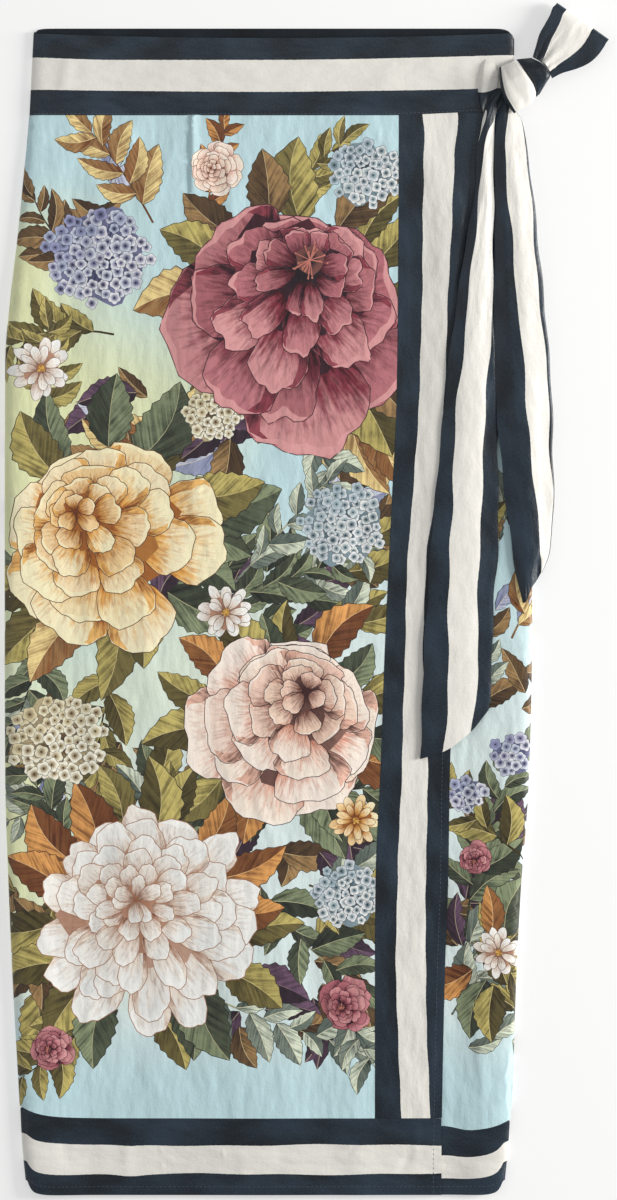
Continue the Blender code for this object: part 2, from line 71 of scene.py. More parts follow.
def curve(table, column):
    # a smooth line through one column of a table, which never overshoots its rows
    keys = np.array(next(iter(table.values())), float)
    values = np.array(table[column], float)
    spans = np.diff(keys)
    slopes = np.diff(values) / spans
    product = slopes[:-1] * slopes[1:]
    total = np.where(product > 0, slopes[:-1] + slopes[1:], 1.0)
    inner = np.where(product > 0, 2 * product / total, 0.0)
    tangents = np.concatenate(([slopes[0]], inner, [slopes[-1]]))

    def at(place):
        place = np.clip(place, keys[0], keys[-1])
        i = np.clip(np.searchsorted(keys, place, side="right") - 1, 0, len(spans) - 1)
        t = (place - keys[i]) / spans[i]
        swing = tangents[i] * t * (1 - t) ** 2 + tangents[i + 1] * t * t * (t - 1)
        return values[i] + (values[i + 1] - values[i]) * smooth(t) + spans[i] * swing

    return at


def columnsAt(table, place):
    # every column after the first, read at a place along the first
    return {column: curve(table, column)(place) for column in list(table)[1:]}


def rows(table):
    return zip(*table.values())


def tone(red, green, blue, strength=1.0):
    # a colour from 0 to 255 as the shader's linear value; strength goes along as alpha
    values = (value / 255 for value in (red, green, blue))
    return (*(v / 12.92 if v <= 0.04045 else ((v + 0.055) / 1.055) ** 2.4 for v in values), strength)


def blended(a, b, share, strength=None):
    mixed = tuple(u + (v - u) * share for u, v in zip(a, b))
    return mixed if strength is None else (*mixed[:3], strength)


def placed(name, data):
    made = bpy.data.objects.new(name, data)
    bpy.context.scene.collection.objects.link(made)
    return made


class Nodes:
    # a material, with short ways to add and join its nodes
    def __init__(self, name):
        self.material = bpy.data.materials.new(name)
        self.material.use_nodes = True
        self.tree = self.material.node_tree
        self.shader = self.tree.nodes["Principled BSDF"]

    def feed(self, node, inputs):
        for key, value in inputs.items():
            if isinstance(value, bpy.types.NodeSocket):
                self.tree.links.new(value, node.inputs[key])
            else:
                node.inputs[key].default_value = value

    def add(self, kind, inputs, **settings):
        made = self.tree.nodes.new("ShaderNode" + kind)
        for key, value in settings.items():
            setattr(made, key, value)
        self.feed(made, inputs)
        return made.outputs

    def maths(self, operation, a, b=0.0, c=0.0):
        return self.add("Math", {0: a, 1: b, 2: c}, operation=operation)[0]

    def times(self, a, b):
        return self.maths("MULTIPLY", a, b)

    def timesPlus(self, a, b, c):
        return self.maths("MULTIPLY_ADD", a, b, c)

    def attribute(self, name, output="Vector"):
        return self.add("Attribute", {}, attribute_name=name)[output]

    def parts(self, vector):
        return self.add("SeparateXYZ", {0: vector}).values()

    def noise(self, vector, scale, detail=2.0, roughness=0.5):
        inputs = {"Vector": vector, "Scale": scale, "Detail": detail, "Roughness": roughness}
        return self.add("TexNoise", inputs)["Fac"]

    def grain(self, vector, across, along, detail, roughness):
        stretched = self.add("Mapping", {"Vector": vector, "Scale": (across, along, 1)})[0]
        return self.noise(stretched, 1.0, detail, roughness)

    def steps(self, value, low, high):
        inputs = {"Value": value, "From Min": low, "From Max": high}
        return self.add("MapRange", inputs, interpolation_type="SMOOTHSTEP")["Result"]

    def mix(self, factor, a, b, blend="MIX"):
        inputs = {"Factor": factor, "A": a, "B": b}
        return self.add("Mix", inputs, data_type="RGBA", blend_type=blend)["Result"]

    def bump(self, height, distance, strength, under=None):
        inputs = {"Height": height, "Distance": distance, "Strength": strength}
        if under is not None:
            inputs["Normal"] = under
        return self.add("Bump", inputs)["Normal"]


# Table, camera and lights

studio = {
    "lens": 135.0, "sensor": 36.0, "centre": (0.00115, -0.00094), "frameHeight": 0.924, "clothLevel": 0.005,
    "tableSide": 7.0, "tableLevel": -0.0004, "roomLight": 0.32,
    "paint": {
        "Base Color": (0.5, 0.5, 0.5, 1), "Roughness": 0.85, "Specular IOR Level": 0.1,
        "Emission Color": (1, 1, 1, 1), "Emission Strength": 0.5,
    },
    # place, width and height, power and colour; all aim at the middle of the table
    "lights": {
        "keyRight": ((2.78, 0.35, 1.12), (0.8, 1.5), 110.0, (1, 0.985, 0.96)),
        "fillLeft": ((-2.4, 0.2, 2.2), (2.0, 2.4), 10.0, (0.96, 0.98, 1)),
        "softTop": ((0.1, 1.6, 3.0), (2.6, 2.0), 10.0, (1, 1, 1)),
    },
}


def setStudio():
    scene = bpy.context.scene
    scene.camera = placed("camera", bpy.data.cameras.new("camera"))
    scene.camera.data.lens = studio["lens"]
    distance = studio["lens"] / studio["sensor"] * studio["frameHeight"]
    scene.camera.location = (*studio["centre"], distance + studio["clothLevel"])

    side, level = studio["tableSide"], studio["tableLevel"]
    mesh = bpy.data.meshes.new("table")
    corners = [(-side, -side, level), (side, -side, level), (side, side, level), (-side, side, level)]
    mesh.from_pydata(corners, [], [(0, 1, 2, 3)])
    paint = Nodes("paleTable")
    paint.feed(paint.shader, studio["paint"])
    mesh.materials.append(paint.material)
    placed("table", mesh)

    for name, (place, size, power, colour) in studio["lights"].items():
        data = bpy.data.lights.new(name, "AREA")
        data.shape = "RECTANGLE"
        data.size, data.size_y = size
        data.energy, data.color = power, colour
        light = placed(name, data)
        light.location = place
        light.rotation_euler = (-Vector(place)).to_track_quat("-Z", "Y").to_euler()
        light.visible_camera = False
    scene.world = scene.world or bpy.data.worlds.new("world")
    scene.world.use_nodes = True
    room = scene.world.node_tree.nodes["Background"].inputs
    room["Color"].default_value = (1, 1, 1, 1)
    room["Strength"].default_value = studio["roomLight"]
    scene.view_settings.view_transform = "Standard"
    print("studio set")


# Satin and thread

satin = {
    # inside is the share of colour kept where the skirt's inside gets painted shade
    "darkLow": tone(13, 22, 30), "darkSheen": tone(39, 55, 70), "light": tone(237, 234, 227), "inside": 0.42,
    "threadPitch": 0.42, "gloss": 0.46, "sheen": 0.05, "sheenRoughness": 0.45, "stripedRoughness": 0.40,
    "printedRoughness": 0.42,
    # each grain's scale across and along the cloth, its detail and its roughness
    "slub": (0.11, 0.5, 3.0, 0.6), "crinkle": (0.13, 0.06, 4.0, 0.62), "ripple": (0.045, 0.018, 2.0, 0.5),
    # patch and glint place the painted sheen on the dark stripes, from darkLow up to darkSheen
    "patch": (0.034, 0.02, 2.0, 0.45), "glint": (0.5, 1.3, 2.0, 0.6),
    # height in metres and strength of the weave, slubs, crinkles and ripples
    "reliefs": [(0.000008, 0.5), (0.00016, 0.5), (0.0008, 0.8), (0.0032, 0.8)],
    "warpWeight": 0.8, "weftTurn": 0.25, "insideWear": 0.5, "slubWear": 0.10, "slubShade": (0.05, 0.975),
    "shadeScale": 0.02, "shade": (0.16, 0.92), "wobbleNoise": (0.35, 1.0), "wobble": 0.024,
    "sheenPatchWeight": 0.6, "glintWeight": 0.4,
    # the print's noises: scale, detail and roughness
    "streak": (11.0, 3.0, 0.65), "cloud": (0.11, 3.0, 0.6), "stroke": (21.0, 2.0, 0.6),
    "streakWeight": 1.05, "cloudWeight": 0.5, "liftBase": -0.77, "streakLength": 0.16,
    "penTint": (0.6, 0.55, 0.6, 1), "penWeight": 0.75, "penEnd": 1.05, "inkLimit": 0.92,
    # where the soft steps between two tones start and end
    "gleamSteps": (0.36, 0.66), "tipSteps": (0.20, 0.80), "depthSteps": (-0.02, 0.30), "strokeSteps": (0.50, 0.62),
}


def finishSatin(nodes, colour, roughness):
    # threads, slubs and small crinkles that both kinds of satin share; cloth is in millimetres
    cloth = nodes.attribute("cloth")
    across, along, inside = nodes.parts(cloth)
    turn = 2 * math.pi / satin["threadPitch"]
    warp = nodes.maths("SINE", nodes.times(across, turn))
    weft = nodes.maths("SINE", nodes.times(along, turn * satin["weftTurn"]))
    slub, crinkle, ripple = (nodes.grain(cloth, *satin[name]) for name in ("slub", "crinkle", "ripple"))
    normal = None
    weave = nodes.timesPlus(warp, satin["warpWeight"], weft)
    for height, relief in zip((weave, slub, crinkle, ripple), satin["reliefs"]):
        normal = nodes.bump(height, *relief, normal)
    worn = nodes.timesPlus(slub, satin["slubWear"], roughness - satin["slubWear"] / 2)
    worn = nodes.timesPlus(inside, satin["insideWear"], worn)
    soft = nodes.timesPlus(nodes.noise(cloth, satin["shadeScale"]), *satin["shade"])
    shade = nodes.times(soft, nodes.timesPlus(slub, *satin["slubShade"]))
    grey = nodes.add("CombineColor", {channel: shade for channel in ("Red", "Green", "Blue")})[0]
    nodes.feed(nodes.shader, {
        "Base Color": nodes.mix(1.0, colour, grey, "MULTIPLY"), "Normal": normal, "Roughness": worn,
        "Specular IOR Level": satin["gloss"], "Sheen Weight": satin["sheen"],
        "Sheen Roughness": satin["sheenRoughness"],
    })
    return nodes.material


def stripedSatin():
    # stripe runs 0-1 dark, 1-2 ivory, 2-3 dark; below 0 the ivory back of the cloth shows
    nodes = Nodes("stripedSatin")
    cloth = nodes.attribute("cloth")
    wobble = nodes.timesPlus(nodes.noise(cloth, *satin["wobbleNoise"]), satin["wobble"], -satin["wobble"] / 2)
    place = nodes.maths("ADD", nodes.attribute("stripe", "Fac"), wobble)
    light = nodes.maths("LESS_THAN", nodes.maths("ABSOLUTE", nodes.maths("SUBTRACT", place, 1.5)), 0.5)
    light = nodes.maths("MAXIMUM", light, nodes.maths("LESS_THAN", place, -0.03))
    # painted sheen: the dark thread's colour is lighter in soft patches and fine streaks, where satin would gleam
    patch, glint = (nodes.grain(cloth, *satin[name]) for name in ("patch", "glint"))
    gleam = nodes.timesPlus(patch, satin["sheenPatchWeight"], nodes.times(glint, satin["glintWeight"]))
    dark = nodes.mix(nodes.steps(gleam, *satin["gleamSteps"]), satin["darkLow"], satin["darkSheen"])
    colour = nodes.mix(light, dark, satin["light"])
    # painted shade: the colour is darkened on the skirt's inside, where the third cloth coordinate is 1
    shaded = nodes.mix(1.0, colour, [satin["inside"]] * 3 + [1], "MULTIPLY")
    colour = nodes.mix(nodes.parts(cloth)[2], colour, shaded)
    return finishSatin(nodes, colour, satin["stripedRoughness"])


def printedSatin():
    # each motif brings two tones and its own lengthwise and crosswise coordinates
    nodes = Nodes("printedSatin")
    base, depthShare = (nodes.attribute("baseTone", part) for part in ("Color", "Alpha"))
    tip, strength = (nodes.attribute("tipTone", part) for part in ("Color", "Alpha"))
    forward, sideways, along = nodes.parts(nodes.attribute("motif"))
    ratio = nodes.maths("DIVIDE", sideways, nodes.maths("MAXIMUM", forward, 0.02))
    place = nodes.add("CombineXYZ", {"X": ratio, "Y": nodes.times(along, satin["streakLength"])})[0]
    streak = nodes.noise(place, *satin["streak"])
    cloud = nodes.noise(nodes.attribute("cloth"), *satin["cloud"])
    lift = nodes.timesPlus(cloud, satin["cloudWeight"], satin["liftBase"])
    lift = nodes.timesPlus(streak, satin["streakWeight"], lift)
    value = nodes.maths("ADD", along, nodes.times(lift, strength))
    colour = nodes.mix(nodes.steps(value, *satin["tipSteps"]), base, tip)
    # dark depths, and fine pen strokes that thin out towards the tip
    half = nodes.mix(1.0, base, satin["penTint"], "MULTIPLY")
    darker = nodes.mix(1.0, base, half, "MULTIPLY")
    depth = nodes.maths("SUBTRACT", 1.0, nodes.steps(value, *satin["depthSteps"]))
    stroke = nodes.steps(nodes.noise(place, *satin["stroke"]), *satin["strokeSteps"])
    thinned = nodes.maths("SUBTRACT", satin["penEnd"], along)
    pen = nodes.times(nodes.times(stroke, thinned), satin["penWeight"])
    inked = nodes.times(nodes.maths("MAXIMUM", depth, pen), depthShare)
    colour = nodes.mix(nodes.maths("MINIMUM", inked, satin["inkLimit"]), colour, darker)
    return finishSatin(nodes, colour, satin["printedRoughness"])


def threadFinish():
    nodes = Nodes("sewingThread")
    twist = nodes.noise(nodes.add("TexCoord", {})["Object"], 2400.0)
    nodes.feed(nodes.shader, {
        "Base Color": nodes.mix(twist, tone(62, 72, 86), tone(104, 116, 130)),
        "Normal": nodes.bump(twist, 0.0001, 0.5), "Roughness": 0.6,
    })
    return nodes.material


# Lines of the skirt

sides = {
    "down": [0, 25, 68, 117, 163, 209, 256, 348, 487, 579, 671, 741, 810, 856, 899],
    "left": [-182, -183.3, -185.6, -190.2, -194.8, -200.2, -204, -204.4, -204.4, -204, -201, -197.9, -194,
             -191.3, -187.1],
    "right": [188.3, 188.1, 188.1, 192.5, 197.1, 201, 202.5, 202.3, 201.7, 199.4, 192.8, 189.4, 187.1, 184,
              179.8],
}
borderLines = {
    "down": [0, 68, 209, 286, 363, 479, 571, 656, 718, 839, 899],
    "seam": [99.3, 99.3, 98.6, 97.6, 94, 88.5, 85.2, 81.4, 80.9, 80.9, 80.9],
    "free": [168, 164, 157, 153, 149, 143, 138.6, 137.3, 135, 132.4, 131.7],
}
borderStripe = {
    "down": [69, 209, 286, 363, 402, 479, 571, 656, 718, 840],
    "left": [118.6, 117, 114.7, 109.8, 106.3, 104, 101.5, 98.2, 97, 101.3],
    "right": [144, 137, 134, 127, 121, 117.8, 121.7, 120, 119.9, 123.2],
}
leftSide, rightSide = curve(sides, "left"), curve(sides, "right")
atLeft, atRight = (leftSide, -1), (rightSide, 1)
borderSeam, freeEdge = curve(borderLines, "seam"), curve(borderLines, "free")


borderWeave = {"waver": 0.25, "gathered": 0.5, "fade": 35, "short": 6.1, "long": 15.0, "longShare": 0.7}


def gathered(column, shift):
    # the stripe's woven edge wavers, most below the waist where the border is gathered in
    line, top = curve(borderStripe, column), borderStripe["down"][0]

    def at(down):
        size = borderWeave["waver"] + borderWeave["gathered"] * np.exp(-(down - top) / borderWeave["fade"])
        long = borderWeave["longShare"] * np.sin(down / borderWeave["long"] + 2 * shift)
        return line(down) + size * (np.sin(down / borderWeave["short"] + shift) + long)

    return at


fit = {
    "length": 898.6, "waistSeam": 66.8, "hemSeam": 839.7, "underHemSeam": 850.0, "underEdge": -121.0,
    "layer": 1.9, "panelWall": 1.0, "bandWall": 1.2, "waistWall": 1.5, "sheetWall": 0.6, "stripWall": 0.8,
    "sideRoll": 9.0, "rollArc": 12.0, "backArc": 5.0, "backLip": 0.4, "liftWidth": 45.0,
    "seamGap": 0.3, "seamLap": 0.35, "hemLevel": 870.0, "waistLevel": 35.0,
    # creases show from and to these depths, and fade out over the last number
    "frontCreased": (70.0, 836.0, 25.0), "backCreased": (80.0, 820.0, 30.0),
    # lift of the sides and height of the side seam: at the waist, and how much more at the hip
    "hipDown": 220.0, "lift": (0.6, 2.6), "seamHeight": (2.6, 0.8),
    # how far each line climbs at the side edges, and the width that the climb fades over
    "seamClimb": (10.0, 14.0), "hemClimb": (11.5, 4.2), "leftDrop": 3.0, "rightDrop": 9.0, "dropWidth": 3.0,
    # the under front's hem climbs on towards the free edge, and its side lies a little higher at the waist
    "underClimb": (4.0, 155.0, 22.0), "underLift": 1.4,
    # the front waist dips in its middle, and its seam climbs towards the tie
    "topDip": (4.2, 3.5, 185.0), "tieClimb": (2.3, 90.0, 70.0),
}
gap = fit["seamGap"] / 2
reach = fit["sideRoll"] + fit["panelWall"]


def hip(down):
    return smooth(down / fit["hipDown"])


def sideLift(down):
    return fit["lift"][0] + fit["lift"][1] * hip(down)


def seamHeight(down):
    return fit["seamHeight"][0] + fit["seamHeight"][1] * hip(down)


def insetAt(x, down):
    return np.maximum(np.minimum(x - leftSide(down), rightSide(down) - x), 0.0)


def corner(x, down, height, width):
    # the full height at the side edges, fading inwards
    return height * np.exp(-insetAt(x, down) / width)


def waistSeam(x):
    climb, start, width = fit["tieClimb"]
    return fit["waistSeam"] - climb * smooth((x - start) / width)


def backTop(x):
    return corner(x, 0.0, np.where(x > 0, fit["rightDrop"], fit["leftDrop"]), fit["dropWidth"])


def frontTop(x):
    side, middle, width = fit["topDip"]
    return np.maximum(side + middle * (1 - (x / width) ** 2), backTop(x) + fit["seamGap"])


def hemSeam(x):
    return fit["hemSeam"] - corner(x, fit["hemSeam"], *fit["seamClimb"])


def underHemSeam(x):
    climb, start, width = fit["underClimb"]
    return fit["underHemSeam"] - climb * smooth((start - x) / width) - corner(x, fit["hemSeam"], *fit["seamClimb"])


def hemEdge(x):
    return fit["length"] - corner(x, fit["length"], *fit["hemClimb"])


# Folds and creases: where they are, how long, wide and high. Angle 90 runs down the skirt.

frontFolds = {
    "x": [-128, -52, 25, -95, -8, 48, 68],
    "start": [75, 120, 90, 380, 520, 330, 700],
    "end": [330, 420, 300, 760, 960, 640, 960],
    "height": [1.1, 1.6, 0.9, 1.3, 2.4, 1.2, 1.1],
    "width": [15, 24, 18, 30, 44, 18, 12],
}
underFolds = {"x": [162], "start": [560], "end": [940], "height": [0.9], "width": [12]}
frontCreases = {
    "x": [-150, -172, -104, -30, 40, 12, -150, -60, 66, -20, 52, -120, -176, 30, -86, 74, -78, -44, -66, 70,
          -100, 0, -40, -140, 20, -170, -176, -166, -152, -118, -107, -88, -38, -6, 22, 58, 84],
    "down": [150, 250, 110, 128, 118, 230, 420, 330, 420, 470, 560, 610, 700, 700, 800, 770, 104, 112, 190, 200,
             520, 620, 740, 770, 810, 560, 80, 78, 82, 79, 81, 80, 82, 79, 81, 80, 79],
    "angle": [78, 84, 98, 84, 80, 104, 86, 82, 98, 75, 92, 100, 84, 83, 94, 89, 106, 74, 97, 84, 112, 66, 80,
              98, 92, 78, 84, 96, 88, 94, 82, 92, 98, 86, 92, 84, 95],
    "length": [120, 150, 90, 80, 80, 110, 150, 120, 140, 100, 150, 130, 160, 190, 90, 110, 90, 90, 120, 130, 80,
               90, 110, 90, 80, 110, 26, 22, 30, 24, 28, 22, 30, 24, 28, 22, 26],
    "width": [5, 7, 4, 3.5, 4.5, 6, 8, 6, 5, 7, 6, 8, 7, 9, 6, 5, 3.5, 3.5, 5, 5, 4, 4.5, 5, 4, 4, 5, 2.4, 2,
              2.6, 2, 2.4, 2, 2.6, 2.2, 2.4, 2, 2.2],
    "depth": [-0.6, 0.7, -0.5, 0.5, -0.55, 0.6, -0.75, 0.55, -0.6, 0.65, 0.7, -0.75, 0.6, -0.9, 0.5, 0.5, 0.4,
              -0.45, 0.5, 0.5, -0.4, 0.45, -0.55, 0.4, -0.4, 0.45, 0.8, -0.7, 0.9, -0.8, 0.9, -0.7, 0.7, -0.8,
              0.6, -0.7, 0.8],
}
underCreases = {
    "x": [158, 176, 150, 168, 184, 162],
    "down": [600, 690, 760, 480, 560, 800],
    "angle": [86, 94, 80, 92, 98, 84],
    "length": [120, 140, 120, 110, 90, 70],
    "width": [5, 6, 4, 6, 4, 4],
    "depth": [0.5, -0.55, -0.4, 0.5, 0.4, 0.4],
}
backCreases = {
    "x": [-120, -40, 60, 130, -150, 20, 100, -70],
    "down": [160, 240, 190, 330, 480, 560, 690, 760],
    "angle": [84, 95, 87, 92, 86, 98, 90, 83],
    "length": [120, 150, 130, 170, 150, 140, 160, 110],
    "width": [7, 8, 6, 9, 8, 7, 8, 6],
    "depth": [0.18, 0.2, 0.15, 0.2, 0.18, 0.2, 0.15, 0.18],
}
waistCreases = {
    "x": [-158, -119, -176, -60, 30, 92, 128, 148],
    "down": [38, 60, 52, 36, 52, 30, 58, 36],
    "angle": [100, 23, 70, 84, 12, 96, 160, 78],
    "length": [44, 40, 30, 50, 60, 44, 44, 40],
    "width": [6, 3.5, 5, 12, 5, 12, 3.5, 6],
    "depth": [0.9, -0.45, 0.4, -0.3, 0.25, 0.35, -0.4, 0.5],
}
hemCreases = {
    "x": [-84, -78, -83, -107, -110, -36, -132, 37, 64, 112, 104, -20, 88, -160, -60, 8],
    "down": [864, 870, 876, 877, 868, 867, 873, 851, 862, 856, 875, 880, 888, 858, 888, 872],
    "angle": [65, 8, 82, 152, 96, 74, 4, 145, 130, 92, 118, 80, 20, 76, 110, 100],
    "length": [9, 12, 10, 12, 46, 9, 18, 18, 26, 44, 34, 40, 26, 40, 24, 44],
    "width": [1.3, 1.3, 1.4, 1.4, 5, 1.3, 1.5, 1.6, 2, 4, 3, 6, 2, 5, 2, 7],
    "depth": [0.32, 0.3, 0.3, 0.35, 0.5, 0.3, 0.2, 0.3, -0.35, 0.5, -0.4, 0.5, 0.3, -0.5, -0.3, -0.5],
}
noCreases = {"x": [], "down": [], "angle": [], "length": [], "width": [], "depth": []}
dartLine = {
    "x": -60.8, "start": 69.0, "end": 150.0, "fade": 45.0, "ridge": 1.9, "steep": 0.8, "gentle": 5.0,
    "groove": 0.7, "grooveAt": -2.0, "grooveWidth": 1.5, "columns": (-3.6, -2, -1, -0.4, 0, 3, 7),
}


def foldHeight(folds, x, down):
    total = np.zeros_like(x)
    for place, start, end, height, width in rows(folds):
        along = np.clip((down - start) / (end - start), 0, 1)
        total += height * np.sin(math.pi * along) * bell((x - place) / width)
    return total


def creaseHeight(creases, x, down):
    total = np.zeros_like(x)
    for place, middle, angle, length, width, depth in rows(creases):
        c, s = math.cos(math.radians(angle)), math.sin(math.radians(angle))
        along = ((x - place) * c + (down - middle) * s) / (length / 2)
        across = ((down - middle) * c - (x - place) * s) / width
        total += depth * np.clip(1 - along * along, 0, 1) ** 1.5 * bell(across)
    return total


def frontHeight(x, down):
    # underside of the over front, as the solid has it; folds keep clear of the free edge and the waist
    clear = smooth((freeEdge(down) - x - 9.0) / 30.0) * smooth((down - fit["waistSeam"]) / 30.0)
    edge = leftSide(down) + reach
    lift = sideLift(down) * smooth(1 - (x - edge) / fit["liftWidth"])
    past = x - dartLine["x"]
    dart = dartLine["ridge"] * bell(past / np.where(past > 0, dartLine["gentle"], dartLine["steep"]))
    dart = dart - dartLine["groove"] * bell((past - dartLine["grooveAt"]) / dartLine["grooveWidth"])
    dart = dart * smooth((dartLine["end"] - down) / dartLine["fade"])
    return 2 * fit["layer"] + lift + foldHeight(frontFolds, x, down) * clear + dart


def underHeight(x, down):
    edge = rightSide(down) - reach
    shown = edge - freeEdge(down) - 2.0
    full = sideLift(down) + fit["underLift"] * (1 - hip(down))
    lift = full * smooth(1 - (edge - x) / np.minimum(fit["liftWidth"], shown))
    clear = smooth((x - freeEdge(down)) / 20.0)
    return fit["layer"] + lift + foldHeight(underFolds, x, down) * clear


def waistHeight(x, down):
    edge = insetAt(x, down) - reach
    lift = sideLift(down) * smooth(1 - edge / fit["liftWidth"])
    return 2 * fit["layer"] + lift + creaseHeight(waistCreases, x, down)


def frontLay(height, wall, rolled=(), creases=noCreases):
    # places cloth points: at a rolled side the cloth turns down to the side seam
    def top(x, down):
        calm = within(down, *fit["frontCreased"])
        return height(x, down) + wall + creaseHeight(creases, x, down) * calm

    def lay(s, down):
        x, z = s.copy(), top(s, down)
        low = seamHeight(down) + gap
        for side, sign in rolled:
            line = side(down) - sign * reach
            turn = np.maximum((s - line) * sign, 0) / fit["rollArc"] * math.pi / 2
            x = np.where(turn > 0, line + sign * reach * np.sin(turn), x)
            z = np.where(turn > 0, low + (top(line, down) - low) * np.cos(turn), z)
        return np.stack([x, down, z], -1)

    return lay


def backLay(creases):
    # the back's outer face lies on the table and turns up at both sides
    def lay(s, down):
        radius = seamHeight(down) - gap - fit["backLip"]
        dent = creaseHeight(creases, s, down) * within(down, *fit["backCreased"])
        x, z = s.copy(), np.maximum(dent, 0.0)
        for side, sign in (atLeft, atRight):
            line = side(down) - sign * radius
            turn = np.maximum((s - line) * sign, 0) / fit["backArc"] * math.pi / 2
            lip = fit["backLip"] * np.clip(turn * 2 / math.pi, 0, 1)
            x = np.where(turn > 0, line + sign * radius * np.sin(turn), x)
            z = np.where(turn > 0, radius * (1 - np.cos(turn)) + lip, z)
        return np.stack([x, down, z], -1)

    return lay


def facing(lay, s, down):
    # outward direction of the laid cloth, from small steps along and across it
    step = 0.25
    acrossStep = (lay(s + step, down) - lay(s - step, down)) * mirror
    downStep = (lay(s, down + step) - lay(s, down - step)) * mirror
    return unit(np.cross(downStep, acrossStep))


def gridFacing(outer):
    # the same for a grid of laid points
    points = outer * mirror
    return unit(np.cross(np.gradient(points, axis=0), np.gradient(points, axis=1)))


# Making cloth


def giveValues(mesh, name, kind, domain, values):
    layer = mesh.attributes.new(name, kind, domain)
    field = {"FLOAT_COLOR": "color", "FLOAT": "value", "FLOAT_VECTOR": "vector"}[kind]
    layer.data.foreach_set(field, np.ascontiguousarray(values, np.float32).ravel())


def giveCloth(mesh, across, down, inside=0.0):
    # where each point lies on the flat cloth, which the grain follows; the third value is 1 where the skirt's inside
    # gets painted shade
    places = np.stack(np.broadcast_arrays(across, down, inside), -1)
    giveValues(mesh, "cloth", "FLOAT_VECTOR", "POINT", places)


def newMesh(name, points, faces):
    mesh = bpy.data.meshes.new(name)
    mesh.from_pydata(toFrame(points).tolist(), [], faces)
    mesh.shade_smooth()
    return mesh


def settle(name, mesh, material, node):
    mesh.materials.append(material)
    piece = placed(name, mesh)
    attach(piece, "root")
    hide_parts(node)
    return piece


def hardRim(mesh, first):
    # the cut edge keeps a crisp turn
    mesh.update()
    uses = Counter(key for polygon in mesh.polygons[first:] for key in polygon.edge_keys)
    layer = mesh.attributes.new("sharp_edge", "BOOLEAN", "EDGE")
    layer.data.foreach_set("value", [uses[edge.key] == 1 for edge in mesh.edges])


def gridShell(name, outer, normals, wall, stripe, across, along, node, inside=0.0):
    # a closed wall on a grid of points: outer face, inner face and rim; inside 1 gives the inner face painted shade
    inner = outer - normals * mirror * wall
    points = np.concatenate([outer.reshape(-1, 3), inner.reshape(-1, 3)])
    index = np.arange(len(points) // 2).reshape(outer.shape[:2])
    a, b, c, d = index[:-1, :-1], index[1:, :-1], index[1:, 1:], index[:-1, 1:]
    faces = np.stack([a, b, c, d], -1).reshape(-1, 4)
    under = np.stack([a, d, c, b], -1).reshape(-1, 4) + index.size
    ring = np.concatenate([index[0, :-1], index[:-1, -1], index[-1, :0:-1], index[:0:-1, 0]])
    after = np.roll(ring, -1)
    rim = np.stack([ring, after, after + index.size, ring + index.size], -1)
    faces = np.concatenate([faces, under, rim])
    start, ahead, aside = toFrame(points[[a[0, 0], b[0, 0], d[0, 0]]])
    if np.dot(np.cross(ahead - start, aside - start), normals[0, 0]) < 0:
        faces = faces[:, ::-1]
    mesh = newMesh(name, points, faces.tolist())
    giveValues(mesh, "stripe", "FLOAT", "POINT", np.tile(stripe.ravel(), 2))
    across, along = (np.tile((values + 0 * stripe).ravel(), 2) for values in (across, along))
    giveCloth(mesh, across, along, np.repeat([0.0, inside], index.size))
    hardRim(mesh, len(faces) - len(rim))
    return settle(name, mesh, satinStriped, node)


# rows of points along each striped band, and columns in each of its stripes
grids = {
    "frontBorder": (260, 7), "overHem": (300, 13), "underHem": (150, 6), "backHem": (120, 4),
    "waistFront": (260, 9), "waistBack": (150, 4), "waistUnder": (80, 3),
}


def stops(count, per):
    # columns that lie on each stripe's edge, with some between
    return np.array([k + i / per for k in range(count - 1) for i in range(per)] + [count - 1.0])


def spread(edges, share):
    # stripe edges, known at every grid point, filled in to the columns between them
    edges = np.broadcast_to(edges, (*edges.shape[:2], len(share)))
    k, columns = np.minimum(share.astype(int), len(edges) - 2), np.arange(len(share))
    low, high = edges[k, :, columns].T, edges[k + 1, :, columns].T
    return low + (high - low) * (share - k)


def bandAlong(name, lay, level, left, right, lines, wall, node, flip=False, inside=0.0):
    # a striped band whose stripes run across the skirt: lines give each stripe edge's depth
    steps, per = grids[name]
    s = np.linspace(left(level), right(level), steps)
    x = lay(s, np.full_like(s, level))[..., 0]
    share = stops(len(lines), per)
    down = spread(np.array([line(x) for line in lines])[:, :, None], share).T
    s = np.tile(s, (len(share), 1))
    normals = facing(lay, s, down) * (-1 if flip else 1)
    stripe = np.tile(share[:, None], (1, steps))
    return gridShell(name, lay(s, down), normals, wall, stripe, down, s, node, inside)


def bandDown(name, lay, top, bottom, lines, wall, node):
    # a striped band whose stripes run down: lines give each stripe edge's x at a depth
    steps, per = grids[name]
    share = stops(len(lines), per)
    v = np.linspace(0, 1, steps)[:, None]
    middle = 100.0
    down = top(middle) + (bottom(middle) - top(middle)) * v + 0 * share
    for attempt in range(2):
        x = spread(np.array([line(down) for line in lines]), share)
        down = top(x) + (bottom(x) - top(x)) * v
    stripe = np.tile(share, (steps, 1))
    return gridShell(name, lay(x, down), facing(lay, x, down), wall, stripe, x, down, node)


# Print: motifs are closed outlines, laid over each other from the ground up


